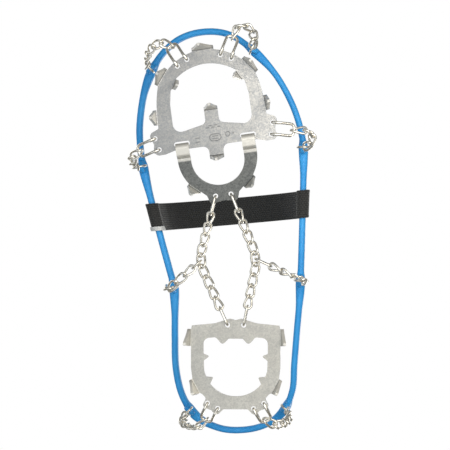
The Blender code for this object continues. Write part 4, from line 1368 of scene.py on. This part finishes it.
def stitches(line, offset, spots, length=2.2, thread=0.55):
    """Return short raised threads on the webbing; a spot is (index on the line, across, slant)."""
    pieces = []
    for index, across, slant in spots:
        here = line[index]
        along = (line[index + 1] - line[index - 1]).normalized()
        normal = Vector((along.y, -along.x))
        turn = math.radians(slant)
        points = []
        for share, lift in ((-0.5, -0.12), (-0.4, 0.12), (-0.2, 0.2), (0.2, 0.2), (0.4, 0.12), (0.5, -0.12)):
            flat = here + along * (share * length * math.cos(turn)) + normal * (offset + lift)
            y = STRAP_Y + across + share * length * math.sin(turn)
            points.append(skewed(Vector((flat.x, y, flat.y))))
        pieces.append(wire_mesh(points, thread))
    return merged(pieces)


def stitch_box(first, last, rows, offset_rows):
    """Return spots for rows of stitches along the strap and across its two ends."""
    spots = []
    for across in rows:
        spots += [(index, across, 0.0) for index in range(first, last + 1)]
    for index in (first, last):
        spots += [(index, across, 90.0) for across in offset_rows]
    return spots


def strap():
    line = strap_line()
    arch = band(line, STRAP_WIDTH, STRAP_THICKNESS)
    room = STRAP_LOOP_GAP + STRAP_THICKNESS / 2
    loops = [band(loop_line(sign, room), STRAP_WIDTH, STRAP_THICKNESS, closed=True) for sign in (1, -1)]
    doubled = [
        band(part, STRAP_WIDTH, STRAP_THICKNESS * 0.8, offset=-STRAP_THICKNESS * 0.85)
        for part in (line[2:15], line[-15:-2])
    ]
    fitted("strap_webbing", merged([arch, *loops, *doubled]), "webbing", body="rear")
    spots = stitch_box(4, 10, (-8.0, 8.0), STITCH_ROW)
    top = STRAP_THICKNESS / 2
    end = len(line)
    mirror = [(end - 1 - index, where, slant) for index, where, slant in spots]
    threads = stitches(line, top, spots + mirror)
    stand_for(place("strap_stitching", threads, "thread"), "rear")


def strap_tail():
    steps = 8
    line = strap_line(steps)
    part = line[TAIL_START * steps // 2:TAIL_END * steps // 2]
    lift = STRAP_THICKNESS + FLAP_GAP
    tail = band(part, STRAP_WIDTH, STRAP_THICKNESS, offset=lift, round_end=6.0)
    fitted("strap_tail", tail, "webbing")
    pile = band(part[3:-4], STRAP_WIDTH - 3.0, 0.3, offset=lift - STRAP_THICKNESS / 2 - 0.05)
    stand_for(place("strap_tail_pile", pile, "pile"), "strap_tail")
    last = len(part) - 3
    spots = stitch_box(last - 7, last - 2, (-7.6, 7.6), STITCH_ROW)
    spots += stitch_box(2, 6, (-8.0, 8.0), STITCH_ROW)
    threads = stitches(part, lift + STRAP_THICKNESS / 2, spots)
    stand_for(place("strap_tail_stitching", threads, "thread"), "strap_tail")


def strap_stripe():
    """The light tape round the rear edge of the inner loop."""
    room = STRAP_LOOP_GAP + STRAP_THICKNESS + CHAIN_GAP + 0.3
    loop = loop_line(1, room)
    lower = loop[len(loop) // 2:] + [loop[0]]
    middle = STRAP_Y - (STRAP_WIDTH - STRIPE_WIDTH) / 2
    mesh = band(lower, STRIPE_WIDTH, 0.6, middle=middle)
    fitted("strap_stripe", mesh, "tape", body="rear")


# ---------------- stage, light and camera

def sky():
    """White to the camera; to everything else, a studio that is bright below and above."""
    world = bpy.data.worlds.new("studio")
    bpy.context.scene.world = world
    world.use_nodes = True
    tree = world.node_tree
    tree.nodes.clear()
    place_of = tree.nodes.new("ShaderNodeTexCoord")
    split = tree.nodes.new("ShaderNodeSeparateXYZ")
    ramp = tree.nodes.new("ShaderNodeValToRGB")
    for _ in range(len(STUDIO_TONES) - 2):
        ramp.color_ramp.elements.new(0.5)
    for element, (at, tone) in zip(ramp.color_ramp.elements, STUDIO_TONES):
        element.position = at
        element.color = (*tone, 1.0)
    height = tree.nodes.new("ShaderNodeMapRange")
    height.inputs["From Min"].default_value = -1.0
    studio = tree.nodes.new("ShaderNodeBackground")
    white = tree.nodes.new("ShaderNodeBackground")
    rays = tree.nodes.new("ShaderNodeLightPath")
    mix = tree.nodes.new("ShaderNodeMixShader")
    out = tree.nodes.new("ShaderNodeOutputWorld")
    for start, end in (
        (place_of.outputs["Generated"], split.inputs[0]), (split.outputs["Z"], height.inputs["Value"]),
        (height.outputs["Result"], ramp.inputs["Fac"]), (ramp.outputs["Color"], studio.inputs["Color"]),
        (rays.outputs["Is Camera Ray"], mix.inputs["Fac"]), (studio.outputs[0], mix.inputs[1]),
        (white.outputs[0], mix.inputs[2]), (mix.outputs[0], out.inputs["Surface"]),
    ):
        tree.links.new(start, end)
    white.inputs["Color"].default_value = (1.0, 1.0, 1.0, 1.0)


def floor():
    """A pale floor under the spikes; from below it is clear, as the photograph looks from there."""
    bpy.ops.mesh.primitive_plane_add(size=4.0)
    plane = bpy.context.object
    plane.name = "floor"
    material = bpy.data.materials.new("pale_floor")
    material.use_nodes = True
    tree = material.node_tree
    shader = tree.nodes["Principled BSDF"]
    shader.inputs["Base Color"].default_value = (0.82, 0.82, 0.81, 1.0)
    shader.inputs["Roughness"].default_value = 0.7
    facing = tree.nodes.new("ShaderNodeNewGeometry")
    clear = tree.nodes.new("ShaderNodeBsdfTransparent")
    mix = tree.nodes.new("ShaderNodeMixShader")
    tree.links.new(facing.outputs["Backfacing"], mix.inputs["Fac"])
    tree.links.new(shader.outputs[0], mix.inputs[1])
    tree.links.new(clear.outputs[0], mix.inputs[2])
    tree.links.new(mix.outputs[0], tree.nodes["Material Output"].inputs["Surface"])
    plane.data.materials.append(material)
    plane.visible_shadow = False
    plane.visible_diffuse = False
    plane.visible_glossy = False


def softbox(name, at, aim, size, radiance, colour=(1.0, 1.0, 1.0)):
    """A rectangular light that faces a point; places and sizes are in metres."""
    data = bpy.data.lights.new(name, "AREA")
    data.shape = "RECTANGLE"
    data.size, data.size_y = size
    data.energy = radiance * math.pi * size[0] * size[1]
    data.color = colour
    lamp = added(name, data)
    lamp.location = at
    lamp.rotation_mode = "QUATERNION"
    lamp.rotation_quaternion = (Vector(aim) - Vector(at)).to_track_quat("-Z", "Y")
    lamp.visible_camera = False


def camera():
    data = bpy.data.cameras.new("camera")
    data.sensor_width = SENSOR_WIDTH
    data.lens = SENSOR_WIDTH * CAMERA_DISTANCE / FIELD_WIDTH
    data.clip_end = 20.0
    eye = added("camera", data)
    turn, tilt = math.radians(IMAGE_UP_TURN), math.radians(CAMERA_TILT)
    image_up = Vector((-math.sin(turn), math.cos(turn), 0.0))
    image_right = Vector((-math.cos(turn), -math.sin(turn), 0.0))
    back = (image_right * math.sin(tilt) - UP * math.cos(tilt)).normalized()
    right = image_up.cross(back).normalized()
    axes = axes_of(right, back.cross(right), back)
    eye.matrix_world = Matrix.Translation((AIM + back * CAMERA_DISTANCE) * MM) @ axes
    bpy.context.scene.camera = eye


# ---------------- whole scene

bpy.context.scene.view_settings.view_transform = "Standard"
camera()
sky()
floor()
softbox("key_below", (-0.19, 0.1, -0.3), (-0.04, 0.06, 0.0), (0.26, 0.4), 3.2, (1.0, 0.96, 0.89))
softbox("fill_below", (0.32, -0.05, -0.4), (0.0, 0.0, 0.0), (0.3, 0.5), 0.9, (0.88, 0.94, 1.0))
softbox("heel_below", (-0.08, -0.24, -0.3), (0.0, -0.1, 0.0), (0.3, 0.2), 1.25, (1.0, 0.98, 0.92))
softbox("key_above", (-0.6, -0.7, 1.2), (0.0, 0.0, 0.0), (0.8, 0.8), 3.0)
softbox("fill_above", (0.9, 0.5, 0.9), (0.0, 0.0, 0.0), (0.9, 0.9), 1.2)

forefoot_plate()
flex_plate()
heel_plate()
for name in BAILS:
    wire_bail(name)
for side in JUNCTIONS:
    centre_chain(side)
for name in BAILS:
    side_chain(name)
for run in RUNS:
    ring(run)
for side in JUNCTIONS:
    arch_chain(side)
harness()
strap()
strap_tail()
strap_stripe()
